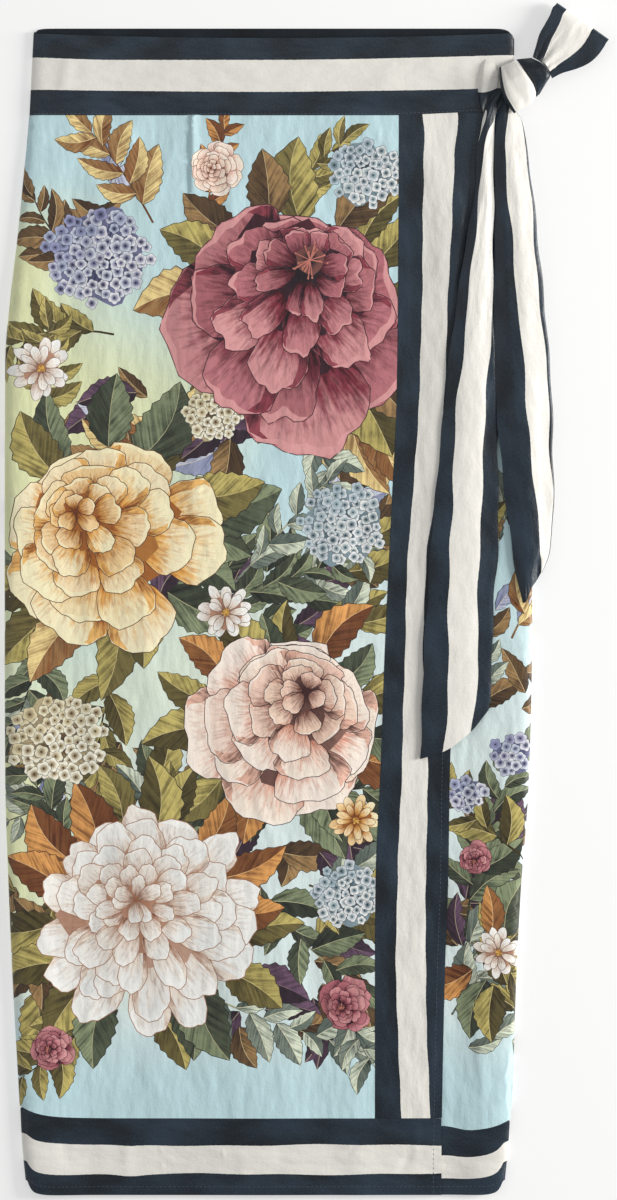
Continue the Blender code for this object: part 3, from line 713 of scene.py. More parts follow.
class Print:
    def __init__(self, seed):
        self.rng = random.Random(seed)
        self.shapes, self.details = [], []

    def add(self, points, base, tip, origin=(0, 0), length=1, heading=0.0, away=0.25, sideways=1.0):
        # heading and length set how far along the motif a point is
        seed = self.rng.uniform(0, 40)
        self.shapes.append(np.asarray(points, float))
        aim = (math.cos(heading), math.sin(heading))
        self.details.append((*base, *tip, *origin, *aim, length, away, sideways, seed))

    def outlined(self, points, width, colour, *details):
        after = np.roll(points, -1, 0)
        run = after - np.roll(points, 1, 0)
        normal = unit(np.stack([run[:, 1], -run[:, 0]], -1))
        area = np.sum(points[:, 0] * after[:, 1] - points[:, 1] * after[:, 0])
        self.add(points + normal * (width if area > 0 else -width), colour, colour)
        self.add(points, *details)


ink = {
    "plum": tone(38, 18, 30, 0),
    "brown": tone(84, 50, 36, 0),
    "tan": tone(168, 122, 96, 0),
    "green": tone(38, 36, 34, 0),
    "slate": tone(58, 70, 88, 0),
}


def clamped(value, low=0):
    return min(max(value, low), 1)


def towards(origin, angle, distance):
    return origin[0] + math.cos(angle) * distance, origin[1] + math.sin(angle) * distance


def petalCurve(rng, length, width, ruffle, widest=0.6):
    # a ruffled petal from its base at the origin out along x, as a function of the turn round it
    waves = [(times, size, rng.uniform(0, 6.3)) for times, size in ((3, 0.5), (5, 0.45), (9, 0.35))]
    notch, notchAt = ruffle * rng.uniform(0, 1.3), rng.uniform(-0.5, 0.5)

    def at(turn, shrink=1.0):
        swell = sum(size * np.sin(times * turn + phase) for times, size, phase in waves)
        swell = 1 + ruffle * swell * (0.5 + 0.5 * np.cos(turn)) - notch * bell((turn - notchAt) / 0.28)
        reach = np.where(np.cos(turn) > 0, (1 - widest) * length, widest * length)
        narrow = np.where(np.cos(turn) < 0, 1 - 0.35 * np.cos(turn) ** 2, 1)
        x = widest * length + reach * np.cos(turn) * swell * shrink
        return np.stack([x, width / 2 * np.sin(turn) * swell * narrow * shrink], -1)

    return at


def crescent(at, start, end, depth, count=9):
    # a sliver along part of a petal's edge
    t = np.linspace(0, 1, count)
    turn = start + (end - start) * t
    return np.concatenate([at(turn, 0.985), at(turn, 0.985 - depth * np.sin(math.pi * t))[-2:0:-1]])


def turned(points, angle, origin):
    c, s = math.cos(angle), math.sin(angle)
    x, y = points[:, 0], points[:, 1]
    return np.stack([origin[0] + x * c - y * s, origin[1] + x * s + y * c], -1)


def grown(points, by):
    return points + unit(points - points.mean(0)) * by


def lumpy(rng, x, y, radius, lumps, count):
    turn = np.linspace(-math.pi, math.pi, count, endpoint=False)
    swell = 1 + lumps * sum(np.sin(k * turn + rng.uniform(0, 6.3)) for k in (3, 5, 8)) / 2
    return np.stack([x + radius * np.cos(turn) * swell, y + radius * np.sin(turn) * swell], -1)


def bloom(sheet, x, y, radius, tones, rings, pen, tilt, facing, points):
    # rings run from the outer petals in: count, start and end distance, width, ruffle, tone shift.
    # Petals on the side that the bloom faces are longer and lighter, and dark gaps show between rings.
    rng = sheet.rng
    deep, middle, light, tint = tones
    facing = math.radians(facing)
    around = np.linspace(-math.pi, math.pi, points, endpoint=False)
    for order, (count, start, end, width, ruffle, shift) in enumerate(rings):
        centre = towards((x, y), facing, -radius * tilt * 0.34 * order)
        if order:
            gapShape = lumpy(rng, *towards(centre, facing, radius * tilt * 0.17), radius * (end * 0.78), 0.14, 22)
            gapTone = blended(deep, middle, 0.12 * order if order < 3 else 0.1, 0.6)
            sheet.add(gapShape, (*deep[:3], 0.5), gapTone, centre, -radius * end)
        offset = rng.uniform(0, 6.3)
        for k in [*range(0, count, 2), *range(1, count, 2)]:
            angle = offset + 2 * math.pi * (k + rng.uniform(-0.32, 0.32)) / count
            near = math.cos(angle - facing)
            length = (end - start) * radius * ((1 + tilt * near) * rng.uniform(0.86, 1.12))
            at = petalCurve(rng, length, width * radius * rng.uniform(0.86, 1.16), ruffle)
            heading = angle + rng.uniform(-0.12, 0.12)
            base = towards(centre, angle, start * radius)
            brightness = clamped(rng.uniform(0.0, 0.95) + shift + 0.3 * near)
            low = blended(middle, deep, clamped(0.55 - 0.5 * brightness), 1)
            high = blended(middle, light, 0.3 + 0.7 * brightness)
            high = blended(high, tint, rng.uniform(0, 0.4), 1)
            # what the next ring hides stays dark
            hidden = 0.62 * rings[order + 1][2] if order + 1 < len(rings) else start
            skip = max(hidden - start, 0) * radius * 0.8
            axes = (towards(base, heading, skip), max(length - skip, 0.3 * length), heading, 0.5)
            petal = turned(at(around), heading, base)
            sheet.outlined(petal, 0.004 * radius + 0.26, ink[pen], low, high, *axes)
            if points >= 20:
                side = rng.choice((-1, 1))
                shade = crescent(at, side * 0.6, side * 2.6, rng.uniform(0.2, 0.42))
                shadeTones = blended(low, deep, 0.85, 1), blended(high, middle, 0.9, 1.3)
                sheet.add(turned(shade, heading, base), *shadeTones, *axes)
                lip = crescent(at, rng.uniform(-1.3, -0.4), rng.uniform(0.4, 1.3), rng.uniform(0.07, 0.3))
                lipTones = (*high[:3], 0.3), blended(high, light, 0.8, 0.6)
                sheet.add(turned(lip, heading, base), *lipTones, *axes)


def heart(sheet, x, y, radius, dark, bright, count):
    # stamens round a dark middle
    rng = sheet.rng
    sheet.add(lumpy(rng, x, y, radius, 0.1, 14), dark, blended(dark, bright, 0.3), (x, y), -radius)
    for k in range(count):
        angle, distance = rng.uniform(0, 6.3), radius * rng.uniform(0.4, 1.3)
        tip = towards((x, y), angle, distance)
        half = radius * 0.02 + 0.14
        side = np.array([-math.sin(angle) * half, math.cos(angle) * half])
        a, b = np.array([x, y]), np.array(tip)
        sheet.add([a + side, a - side, b - side, b + side], bright, bright, (x, y), radius)
        sheet.add(lumpy(rng, *tip, radius * 0.05 + 0.3, 0.1, 6), bright, blended(bright, dark, 0.4), tip)


def leaf(sheet, x, y, angle, length, width, tones, pen="green"):
    # two halves with their own tones and slanting veins, and a pale rib between them
    rng = sheet.rng
    dark, bright = tones
    count = 15 if length > 34 else 11 if length > 20 else 8
    t = np.linspace(0, 1, count)
    half = width / 2 * np.sin(math.pi * t**0.8) ** 0.85
    bend = length * rng.choice((-1, 1)) * rng.uniform(0.03, 0.16)
    middle = bend * np.sin(math.pi * t * 0.9)
    teeth = 1 + 0.07 * np.where(np.arange(count) % 2, 1, -1) * (t < 0.95)
    upper = np.stack([t * length, middle + half * teeth], -1)
    lower = np.stack([t * length, middle - half * np.roll(teeth, 1)], -1)
    rib = np.stack([t * length, middle], -1)
    shape = np.concatenate([upper, lower[-2:0:-1]])
    sheet.add(turned(grown(shape, 0.3 + 0.005 * length), angle, (x, y)), ink[pen], ink[pen], (x, y))
    lit = rng.choice((-1, 1))
    for sign, edge in ((1, upper), (-1, lower)):
        points = turned(np.concatenate([edge, rib[-2:0:-1]]), angle, (x, y))
        slant = angle + sign * 0.62
        tint = blended(dark, bright, clamped(0.6 + 0.38 * sign * lit + rng.uniform(-0.12, 0.12), 0.08), 1.7)
        # veins run nearly level along the slant, so their centre lies far behind the leaf
        far = towards((x, y), slant, -0.8 * length)
        sheet.add(points, blended(dark, tint, 0.3, 1), tint, far, length * 2.3, slant, 3.0, 12.0)
    if length > 20:
        line = np.concatenate([rib[::2] + [0, 0.22], (rib[::2] - [0, 0.22])[::-1]])
        pale = blended(bright, tone(240, 226, 180), 0.5, 0.2)
        sheet.add(turned(line, angle, (x, y)), pale, bright, (x, y), length)


def stem(sheet, places, width, colour):
    # a thin ribbon along a bent line
    a, b, c = np.array(places, float)
    t = np.linspace(0, 1, 9)[:, None]
    line = (1 - t) ** 2 * a + 2 * t * (1 - t) * b + t**2 * c
    run = np.gradient(line, axis=0)
    side = unit(np.stack([-run[:, 1], run[:, 0]], -1)) * width / 2 * (1.15 - 0.6 * t)
    shape = np.concatenate([line + side, (line - side)[::-1]])
    sheet.add(shape, colour, blended(colour, tone(226, 214, 168), 0.35), line[0], 30)
    return line


def spray(sheet, x, y, angle, length, tones, leaves, size):
    # a bent stem with leaves to both sides and at its end
    rng = sheet.rng
    end = towards((x, y), angle + rng.uniform(-0.35, 0.35), length)
    knee = towards((x, y), angle, length * 0.55)
    line = stem(sheet, [(x, y), knee, end], 1.5, blended(*tones, 0.3))
    for k in range(leaves):
        at = 0.18 + 0.76 * k / max(leaves - 1, 1)
        i = min(int(at * 8), 7)
        run = line[i + 1] - line[i]
        place = line[i] + run * (at * 8 - i)
        swing = (1 if k % 2 else -1) * rng.uniform(0.5, 1.05)
        span = size * rng.uniform(0.75, 1.2) * (1.1 - 0.4 * at)
        leaf(sheet, *place, math.atan2(run[1], run[0]) + swing, span, span * rng.uniform(0.36, 0.52), tones)
    heading = math.atan2(end[1] - knee[1], end[0] - knee[0])
    leaf(sheet, *end, heading, size * 0.8, size * 0.32, tones)


def cluster(sheet, x, y, radius, tones, size, pen="slate"):
    # a rounded head packed with small flowers over a dark middle
    rng = sheet.rng
    dark, middle, light, tint = tones
    head = lumpy(rng, x, y, radius * 0.84, 0.12, 34)
    sheet.add(head, (*dark[:3], 0.8), blended(dark, middle, 0.5, 1.4), (x, y), -radius)
    step = size * 1.56
    last = int(radius / step) + 1
    places = []
    for i in range(-last, last + 1):
        for j in range(-last, last + 1):
            px = (j + 0.5 * (i % 2)) * step + rng.uniform(-0.3, 0.3) * step
            py = i * step * 0.87 + rng.uniform(-0.3, 0.3) * step
            if math.hypot(px, py / 0.9) < radius * rng.uniform(0.88, 1.04):
                places.append((px, py))
    rng.shuffle(places)
    for px, py in places:
        centre, depth = (x + px, y + py), math.hypot(px, py) / radius
        span = size * rng.uniform(0.8, 1.15)
        petals = rng.choice((4, 5))
        turn = np.linspace(0, 2 * math.pi, petals * 5, endpoint=False)
        reach = span * (0.62 + 0.38 * np.abs(np.cos(petals * turn / 2)) ** 0.6)
        turn = turn + rng.uniform(0, 6.3)
        shape = np.stack([centre[0] + reach * np.cos(turn), centre[1] + reach * np.sin(turn)], -1)
        shade = 0.35 * depth + rng.uniform(-0.3, 0.4) - 0.55 * (px - py) / radius
        tip = blended(blended(light, middle, clamped(shade)), tint, rng.uniform(0, 0.5), 0.7)
        base = blended(dark, middle, rng.uniform(0.1, 0.7), 0.8)
        sheet.outlined(shape, 0.3, ink[pen], base, tip, centre, -span)
        sheet.add(lumpy(rng, *centre, span * 0.16, 0, 5), dark, dark, centre)


tones = {
    # deep, middle, light and a second light that some petals lean to
    "burgundy": (tone(26, 16, 28), tone(140, 50, 68), tone(228, 164, 164), tone(196, 112, 126)),
    "amber": (tone(150, 78, 28), tone(244, 186, 98), tone(255, 246, 204), tone(252, 234, 206)),
    "blush": (tone(70, 34, 34), tone(240, 186, 164), tone(255, 242, 230), tone(254, 236, 206)),
    "cream": (tone(172, 120, 92), tone(242, 228, 212), tone(254, 253, 248), tone(230, 236, 238)),
    "lilac": (tone(52, 56, 92), tone(150, 152, 190), tone(240, 238, 242), tone(190, 206, 224)),
    "mist": (tone(66, 92, 104), tone(174, 196, 204), tone(244, 246, 242), tone(224, 226, 234)),
    "straw": (tone(122, 98, 66), tone(224, 210, 168), tone(252, 248, 230), tone(244, 238, 206)),
}
leafTones = {
    "olive": (tone(52, 42, 20), tone(206, 190, 112)),
    "gold": (tone(126, 66, 24), tone(255, 230, 160)),
    "deep": (tone(22, 30, 28), tone(146, 158, 122)),
    "grey": (tone(62, 80, 76), tone(230, 238, 214)),
    "rust": (tone(92, 40, 20), tone(234, 168, 96)),
    "plum": (tone(34, 20, 32), tone(112, 84, 108)),
    "umber": (tone(52, 34, 24), tone(176, 140, 92)),
    "haze": (tone(126, 136, 172), tone(220, 222, 236)),
}
ringSets = {
    "poppy": [
        (6, 0.2, 1.0, 0.96, 0.15, -0.1), (7, 0.16, 0.88, 0.66, 0.17, -0.3), (7, 0.14, 0.71, 0.5, 0.18, 0.2),
        (8, 0.12, 0.54, 0.33, 0.18, -0.1), (8, 0.1, 0.38, 0.21, 0.18, -0.3),
    ],
    "camellia": [
        (8, 0.42, 1.0, 0.68, 0.12, 0.55), (8, 0.34, 0.83, 0.56, 0.12, 0.35), (7, 0.26, 0.66, 0.46, 0.13, 0.2),
        (7, 0.18, 0.5, 0.34, 0.14, -0.1), (6, 0.1, 0.34, 0.25, 0.14, -0.25), (4, 0.02, 0.2, 0.17, 0.14, -0.4),
    ],
    "dahlia": [
        (14, 0.34, 1.0, 0.37, 0.1, 0.5), (13, 0.3, 0.85, 0.33, 0.11, 0.4), (12, 0.24, 0.69, 0.28, 0.11, 0.3),
        (11, 0.18, 0.52, 0.22, 0.11, 0.0), (9, 0.1, 0.36, 0.17, 0.12, -0.2), (6, 0.03, 0.22, 0.12, 0.12, -0.4),
    ],
    "ranunculus": [
        (7, 0.4, 1.0, 0.9, 0.14, 0.6), (7, 0.36, 0.84, 0.72, 0.14, 0.35), (6, 0.28, 0.68, 0.6, 0.15, 0.15),
        (6, 0.2, 0.52, 0.42, 0.15, -0.2), (5, 0.12, 0.37, 0.3, 0.15, -0.5), (4, 0.04, 0.23, 0.2, 0.15, -0.7),
    ],
    "daisy": [(11, 0.16, 1.0, 0.36, 0.06, 0.2), (9, 0.14, 0.72, 0.28, 0.06, 0.0)],
}


def fanOfLeaves(sheet, x, y, radius, names, spread, count, length):
    rng = sheet.rng
    for k in range(count):
        angle = math.radians(spread[0] + (spread[1] - spread[0]) * (k + rng.uniform(0.1, 0.9)) / count)
        place = towards((x, y), angle, radius * rng.uniform(0.6, 0.86))
        span = length * rng.uniform(0.75, 1.25)
        angle, width = angle + rng.uniform(-0.4, 0.4), span * rng.uniform(0.42, 0.62)
        leaf(sheet, *place, angle, span, width, leafTones[rng.choice(names.split())])


def thicket(sheet, x, y, width, height, names, count, length, aim):
    # leaves laid over each other in an oval patch, each turned round the aim
    rng = sheet.rng
    for k in range(count):
        turn, reach = rng.uniform(0, 6.3), math.sqrt(rng.random())
        place = x + math.cos(turn) * reach * width / 2, y + math.sin(turn) * reach * height / 2
        span = length * rng.uniform(0.65, 1.25)
        angle, breadth = math.radians(aim + rng.uniform(-75, 75)), span * rng.uniform(0.36, 0.58)
        leaf(sheet, *place, angle, span, breadth, leafTones[rng.choice(names.split())])


hearts = {
    "poppy": (tone(30, 22, 34, 0.2), tone(196, 120, 106, 0)),
    "daisy": (tone(150, 92, 36, 0.4), tone(236, 190, 96, 0)),
}


def fullBloom(sheet, kind, colour, x, y, radius, pen, tilt, facing, points):
    bloom(sheet, x, y, radius, tones[colour], ringSets[kind], pen, tilt, facing, points if radius > 30 else 14)
    if kind in hearts:
        centre = towards((x, y), math.radians(facing), -tilt * radius * 0.34 * len(ringSets[kind]))
        heart(sheet, *centre, radius * 0.12, *hearts[kind], 26 if radius > 50 else 9)


# Where the motifs of each panel lie. y is up here, so it is minus the depth down the skirt.
# thickets: x, y, width, height, leaf tones, count, length, aim
# sprays: x, y, angle, length, tones, leaves, size
# fans: x, y, radius, leaf tones, from and to angle, count, length
# clusters: x, y, radius, tones, floret size
# blooms: kind, colour, x, y, radius, pen, tilt, side faced

frontPrint = {
    "thickets": [
        (-60, -300, 130, 70, "plum haze umber", 14, 46, 200), (-30, -440, 120, 90, "plum deep", 16, 44, 30),
        (70, -380, 50, 130, "umber haze", 10, 46, 60), (-60, -575, 140, 90, "plum deep umber", 18, 44, 200),
        (50, -640, 90, 120, "plum umber deep", 20, 46, 330),
        (-170, -560, 50, 150, "grey haze umber", 14, 38, 120),
        (-175, -700, 60, 120, "umber olive", 10, 48, 200), (20, -750, 110, 70, "plum umber", 12, 46, 300),
        (-140, -150, 90, 70, "haze umber", 9, 40, 120), (70, -300, 50, 90, "gold rust", 7, 56, 330),
        (60, -430, 70, 90, "grey olive", 10, 42, 40), (60, -690, 60, 110, "grey olive", 12, 44, 10),
        (-60, -600, 80, 50, "deep olive", 7, 44, 150),
    ],
    "sprays": [
        (-90, -150, 118, 84, "gold", 8, 40), (-52, -150, 76, 74, "rust", 7, 26),
        (-120, -236, 168, 84, "olive", 8, 38), (-130, -190, 150, 80, "umber", 8, 36),
        (60, -300, -28, 60, "gold", 6, 42), (30, -300, -70, 110, "grey", 9, 32),
        (-60, -310, -165, 110, "gold", 8, 46), (-60, -450, 20, 120, "deep", 9, 38),
        (-30, -430, 48, 110, "grey", 9, 30), (-110, -480, -118, 120, "olive", 9, 42),
        (40, -590, 12, 70, "deep", 7, 40), (-70, -600, 165, 130, "grey", 10, 34),
        (-20, -640, -62, 130, "deep", 9, 44), (30, -660, -20, 80, "olive", 7, 44),
        (-60, -740, -24, 130, "grey", 10, 36), (-130, -760, -140, 80, "olive", 8, 44),
        (-150, -640, 110, 110, "deep", 9, 36), (60, -750, -80, 66, "grey", 7, 30),
        (10, -140, 62, 70, "olive", 8, 30), (-180, -300, 70, 70, "olive", 7, 30),
        (-176, -470, -100, 70, "deep", 7, 34),
    ],
    "fans": [
        (22, -214, 84, "gold olive umber", (-150, 200), 17, 66),
        (-128, -392, 82, "olive gold deep", (-170, 140), 16, 62),
        (14, -535, 70, "deep olive rust", (-180, 180), 16, 58),
        (-96, -684, 88, "deep olive rust", (-180, 180), 18, 62),
    ],
    "clusters": [
        (-132, -176, 42, "lilac", 5), (56, -384, 34, "mist", 4.4), (-164, -548, 38, "straw", 5.2),
        (60, -668, 27, "mist", 4.2), (-44, -296, 24, "straw", 4.4), (74, -112, 28, "mist", 4.6),
    ],
    "blooms": [
        ("dahlia", "cream", -96, -684, 88, "tan", 0.1, -60),
        ("ranunculus", "blush", 14, -535, 74, "plum", 0.22, 240),
        ("camellia", "amber", -126, -392, 82, "brown", 0.22, -40),
        ("poppy", "burgundy", 18, -214, 92, "plum", 0.24, -110),
        ("daisy", "cream", -176, -262, 24, "brown", 0, 0), ("poppy", "burgundy", 58, -752, 21, "plum", 0.1, 30),
        ("camellia", "blush", -42, -108, 21, "brown", 0.1, 0), ("daisy", "amber", 66, -610, 20, "brown", 0, 0),
        ("poppy", "burgundy", -168, -786, 17, "plum", 0.1, 10),
        ("daisy", "cream", -34, -450, 22, "brown", 0, 0),
    ],
}
underPrint = {
    "thickets": [
        (170, -660, 70, 150, "plum umber deep", 24, 40, 60), (180, -500, 50, 110, "haze umber", 9, 34, 80),
        (170, -740, 70, 110, "grey olive", 16, 40, 20), (165, -400, 70, 160, "grey umber gold", 10, 36, 80),
    ],
    "sprays": [
        (150, -700, 84, 150, "deep", 11, 38), (196, -640, 140, 90, "olive", 8, 38),
        (140, -760, 60, 86, "grey", 8, 34), (200, -780, 120, 90, "olive", 8, 40),
        (170, -520, 100, 70, "grey", 7, 28), (186, -470, 66, 60, "gold", 6, 34),
        (150, -420, 80, 80, "olive", 7, 36),
    ],
    "fans": [(172, -716, 26, "olive deep rust", (-160, 120), 9, 44)],
    "clusters": [(186, -560, 17, "lilac", 4.6), (152, -590, 14, "lilac", 4.4)],
    "blooms": [
        ("daisy", "cream", 176, -712, 19, "brown", 0, 0), ("poppy", "burgundy", 158, -640, 13, "plum", 0.1, 60),
    ],
}
backPrint = {
    "thickets": [
        (10, -300, 160, 110, "plum umber haze", 12, 60, 200), (-10, -480, 160, 110, "plum deep", 12, 60, 30),
        (0, -650, 170, 110, "plum umber", 12, 60, 330), (-150, -300, 70, 200, "olive gold", 8, 60, 120),
        (150, -540, 70, 200, "grey olive", 8, 60, 60),
    ],
    "sprays": [
        (90, -180, 60, 110, "gold", 6, 46), (-60, -230, 140, 110, "olive", 6, 46),
        (60, -330, -60, 120, "grey", 7, 40), (-70, -480, 160, 110, "deep", 7, 44),
        (60, -560, 10, 110, "olive", 7, 46), (-60, -720, -130, 100, "grey", 7, 44),
        (70, -730, -40, 110, "deep", 7, 46),
    ],
    "fans": [
        (-60, -200, 82, "gold olive", (-180, 180), 12, 64), (70, -390, 78, "olive deep", (-180, 180), 12, 62),
        (-70, -560, 76, "deep rust", (-180, 180), 12, 60), (40, -720, 80, "deep olive", (-180, 180), 12, 62),
    ],
    "clusters": [(110, -200, 36, "lilac", 7), (-140, -400, 34, "straw", 7), (140, -620, 34, "mist", 7)],
    "blooms": [
        ("dahlia", "cream", 40, -720, 80, "tan", 0.1, 200),
        ("ranunculus", "blush", -70, -560, 74, "plum", 0.14, 300),
        ("camellia", "amber", 70, -390, 78, "brown", 0.14, 220),
        ("poppy", "burgundy", -60, -200, 86, "plum", 0.16, -70),
    ],
}


def makePrint(layout, seed, points=26):
    sheet = Print(seed)
    for patch in layout["thickets"]:
        thicket(sheet, *patch)
    for x, y, angle, length, name, leaves, size in layout["sprays"]:
        spray(sheet, x, y, math.radians(angle), length, leafTones[name], leaves, size)
    for fan in layout["fans"]:
        fanOfLeaves(sheet, *fan)
    for x, y, radius, name, size in layout["clusters"]:
        cluster(sheet, x, y, radius, tones[name], size)
    for flower in layout["blooms"]:
        fullBloom(sheet, *flower, points)
    return sheet


ground = {
    "aqua": np.array(tone(196, 226, 232)), "lime": np.array(tone(232, 236, 186)),
    "pale": np.array(tone(232, 242, 238)), "paleLimit": 0.7,
    # size of each drift, its lengths across and along, and its shift
    "drifts": [(1.0, 61.0, math.inf, 1.4), (0.8, 140.0, 83.0, 0.0), (0.5, -70.0, 37.0, 2.0)],
    "limeDrift": 0.32, "paleDrift": 0.2,
}


def groundTone(x, y):
    # pale aqua, turning yellow-green in drifts down the left and nearly white lower down
    drift = sum(size * np.sin(x / across + y / along + shift) for size, across, along, shift in ground["drifts"])
    down = -y
    lime = smooth((-x - 40) / 120 + ground["limeDrift"] * drift)
    lime = lime * smooth((780 - down) / 120) * smooth((down - 105) / 80)
    pale = ground["paleLimit"] * smooth((down - 380) / 160 + ground["paleDrift"] * drift)
    pale = pale * smooth((820 - down) / 80)
    colour = ground["aqua"] + (ground["pale"] - ground["aqua"]) * pale[:, None]
    colour = colour + (ground["lime"] - colour) * lime[:, None]
    colour[:, 3] = 0.0
    return colour


panelMesh = {
    "jitter": 0.2, "edgeClear": 0.6, "innerSpacing": 1.8, "tolerance": 1e-3, "dartStep": 2.5,
    "creaseStep": 5.0, "creaseColumns": (-1.4, -0.7, 0, 0.7, 1.4),
}


def edgeLoop(triangles):
    # the outer rim of a flat triangle mesh, in order
    pairs = {pair for a, b, c in triangles for pair in ((a, b), (b, c), (c, a))}
    after = {a: b for a, b in pairs if (b, a) not in pairs}
    loop = [next(iter(after))]
    while after[loop[-1]] != loop[0]:
        loop.append(after[loop[-1]])
    return loop


def inOutline(points, shape, batch=20000):
    # which points lie inside a closed outline
    (ax, ay), (bx, by) = shape.T, np.roll(shape, -1, 0).T
    rise = np.where(by == ay, 1.0, by - ay)
    found = np.zeros(len(points), bool)
    for start in range(0, len(points), batch):
        x, y = points[start : start + batch, 0:1], points[start : start + batch, 1:2]
        crossed = ((ay > y) != (by > y)) & (x < ax + (y - ay) * (bx - ax) / rise)
        found[start : start + batch] = crossed.sum(1) % 2 == 1
    return found


def topMotif(points, shapes):
    # the last motif that covers each point, or -1 on the bare ground
    order = np.argsort(points[:, 0])
    ordered = points[order, 0]
    owner = np.full(len(points), -1)
    for k, shape in enumerate(shapes):
        low, high = shape.min(0), shape.max(0)
        first, last = np.searchsorted(ordered, (low[0], high[0]))
        near = order[first:last]
        near = near[(points[near, 1] > low[1]) & (points[near, 1] < high[1])]
        if len(near):
            owner[near[inOutline(points[near], shape)]] = k
    return owner


def shownEdges(shapes):
    # outline edges that no later motif hides
    starts = np.concatenate(shapes)
    ends = np.concatenate([np.roll(shape, -1, 0) for shape in shapes])
    own = np.repeat(np.arange(len(shapes)), [len(shape) for shape in shapes])
    shown = np.zeros(len(starts), bool)
    for share in (0.02, 0.5, 0.98):
        shown |= topMotif(starts + (ends - starts) * share, shapes) <= own
    return starts, ends, shown


def creasePoints(creases):
    # cloth points along each crease and to both sides of it
    found = []
    for x, down, angle, length, width, depth in rows(creases):
        c, s = math.cos(math.radians(angle)), math.sin(math.radians(angle))
        for along in np.arange(-length / 2, length / 2, panelMesh["creaseStep"]):
            for across in panelMesh["creaseColumns"]:
                aside = across * width
                found.append((x + c * along - s * aside, -(down + s * along + c * aside)))
    return found


def fillFlat(outline, shapes, spacing, seed, extra=()):
    # triangles of a flat outline whose edges follow the motifs; owner is each one's top motif
    rng = random.Random(seed)
    low, high = outline.min(0), outline.max(0)
    places = outline.tolist()
    edges = [(k, (k + 1) % len(outline)) for k in range(len(outline))]
    if shapes:
        starts, ends, shown = shownEdges(shapes)
        inside = (np.maximum(starts, ends) > low).all(1) & (np.minimum(starts, ends) < high).all(1)
        for pair in zip(starts[shown & inside].tolist(), ends[shown & inside].tolist()):
            edges.append((len(places), len(places) + 1))
            places += pair
    jitter = panelMesh["jitter"]
    grid = [
        (x + rng.uniform(-jitter, jitter) * spacing, y + rng.uniform(-jitter, jitter) * spacing)
        for x in np.arange(low[0] + spacing / 2, high[0], spacing)
        for y in np.arange(low[1] + spacing / 2, high[1], spacing)
    ]
    grid = np.array(grid + list(extra))
    places += grid[inOutline(grid, grown(outline, -panelMesh["edgeClear"]))].tolist()
    made = delaunay_2d_cdt([Vector(p) for p in places], edges, [], 0, panelMesh["tolerance"], False)
    flat, triangles = np.array([tuple(p) for p in made[0]]), np.array(made[2])
    triangles = triangles[inOutline(flat[triangles].mean(1), outline)]
    owner = topMotif(flat[triangles].mean(1), shapes) if shapes else np.full(len(triangles), -1)
    return flat, triangles, owner


def allTurned(flat, triangles, sign):
    # every triangle runs the same way round
    a, b, c = (flat[triangles[:, k]] for k in range(3))
    area = (b[:, 0] - a[:, 0]) * (c[:, 1] - a[:, 1]) - (b[:, 1] - a[:, 1]) * (c[:, 0] - a[:, 0])
    return np.where((area * sign < 0)[:, None], triangles[:, ::-1], triangles)


def motifValues(sheet, cornerOwner, at):
    # each corner's two tones, and its place forward, sideways and along its motif
    base = groundTone(at[:, 0], at[:, 1])
    tip, motif = base.copy(), np.tile([1.0, 0.0, 0.0], (len(at), 1))
    inMotif = cornerOwner >= 0
    detail = np.array(sheet.details)[cornerOwner[inMotif]]
    base[inMotif], tip[inMotif] = detail[:, :4], detail[:, 4:8]
    originX, originY, aimX, aimY, length, away, sideways, seed = detail[:, 8:].T
    dx, dy = at[inMotif, 0] - originX, at[inMotif, 1] - originY
    along, across = (dx * aimX + dy * aimY) / length, (dy * aimX - dx * aimY) / length
    # a negative length means that the tones run out from the motif's middle
    outwards = length < 0
    motif[inMotif] = np.stack([
        np.where(outwards, 1.0, along + away),
        np.where(outwards, np.arctan2(dy, dx) + seed, across * sideways + seed * (along + away)),
        np.where(outwards, np.hypot(dx, dy) / np.abs(length), along),
    ], -1)
    return {"baseTone": base, "tipTone": tip, "motif": motif}


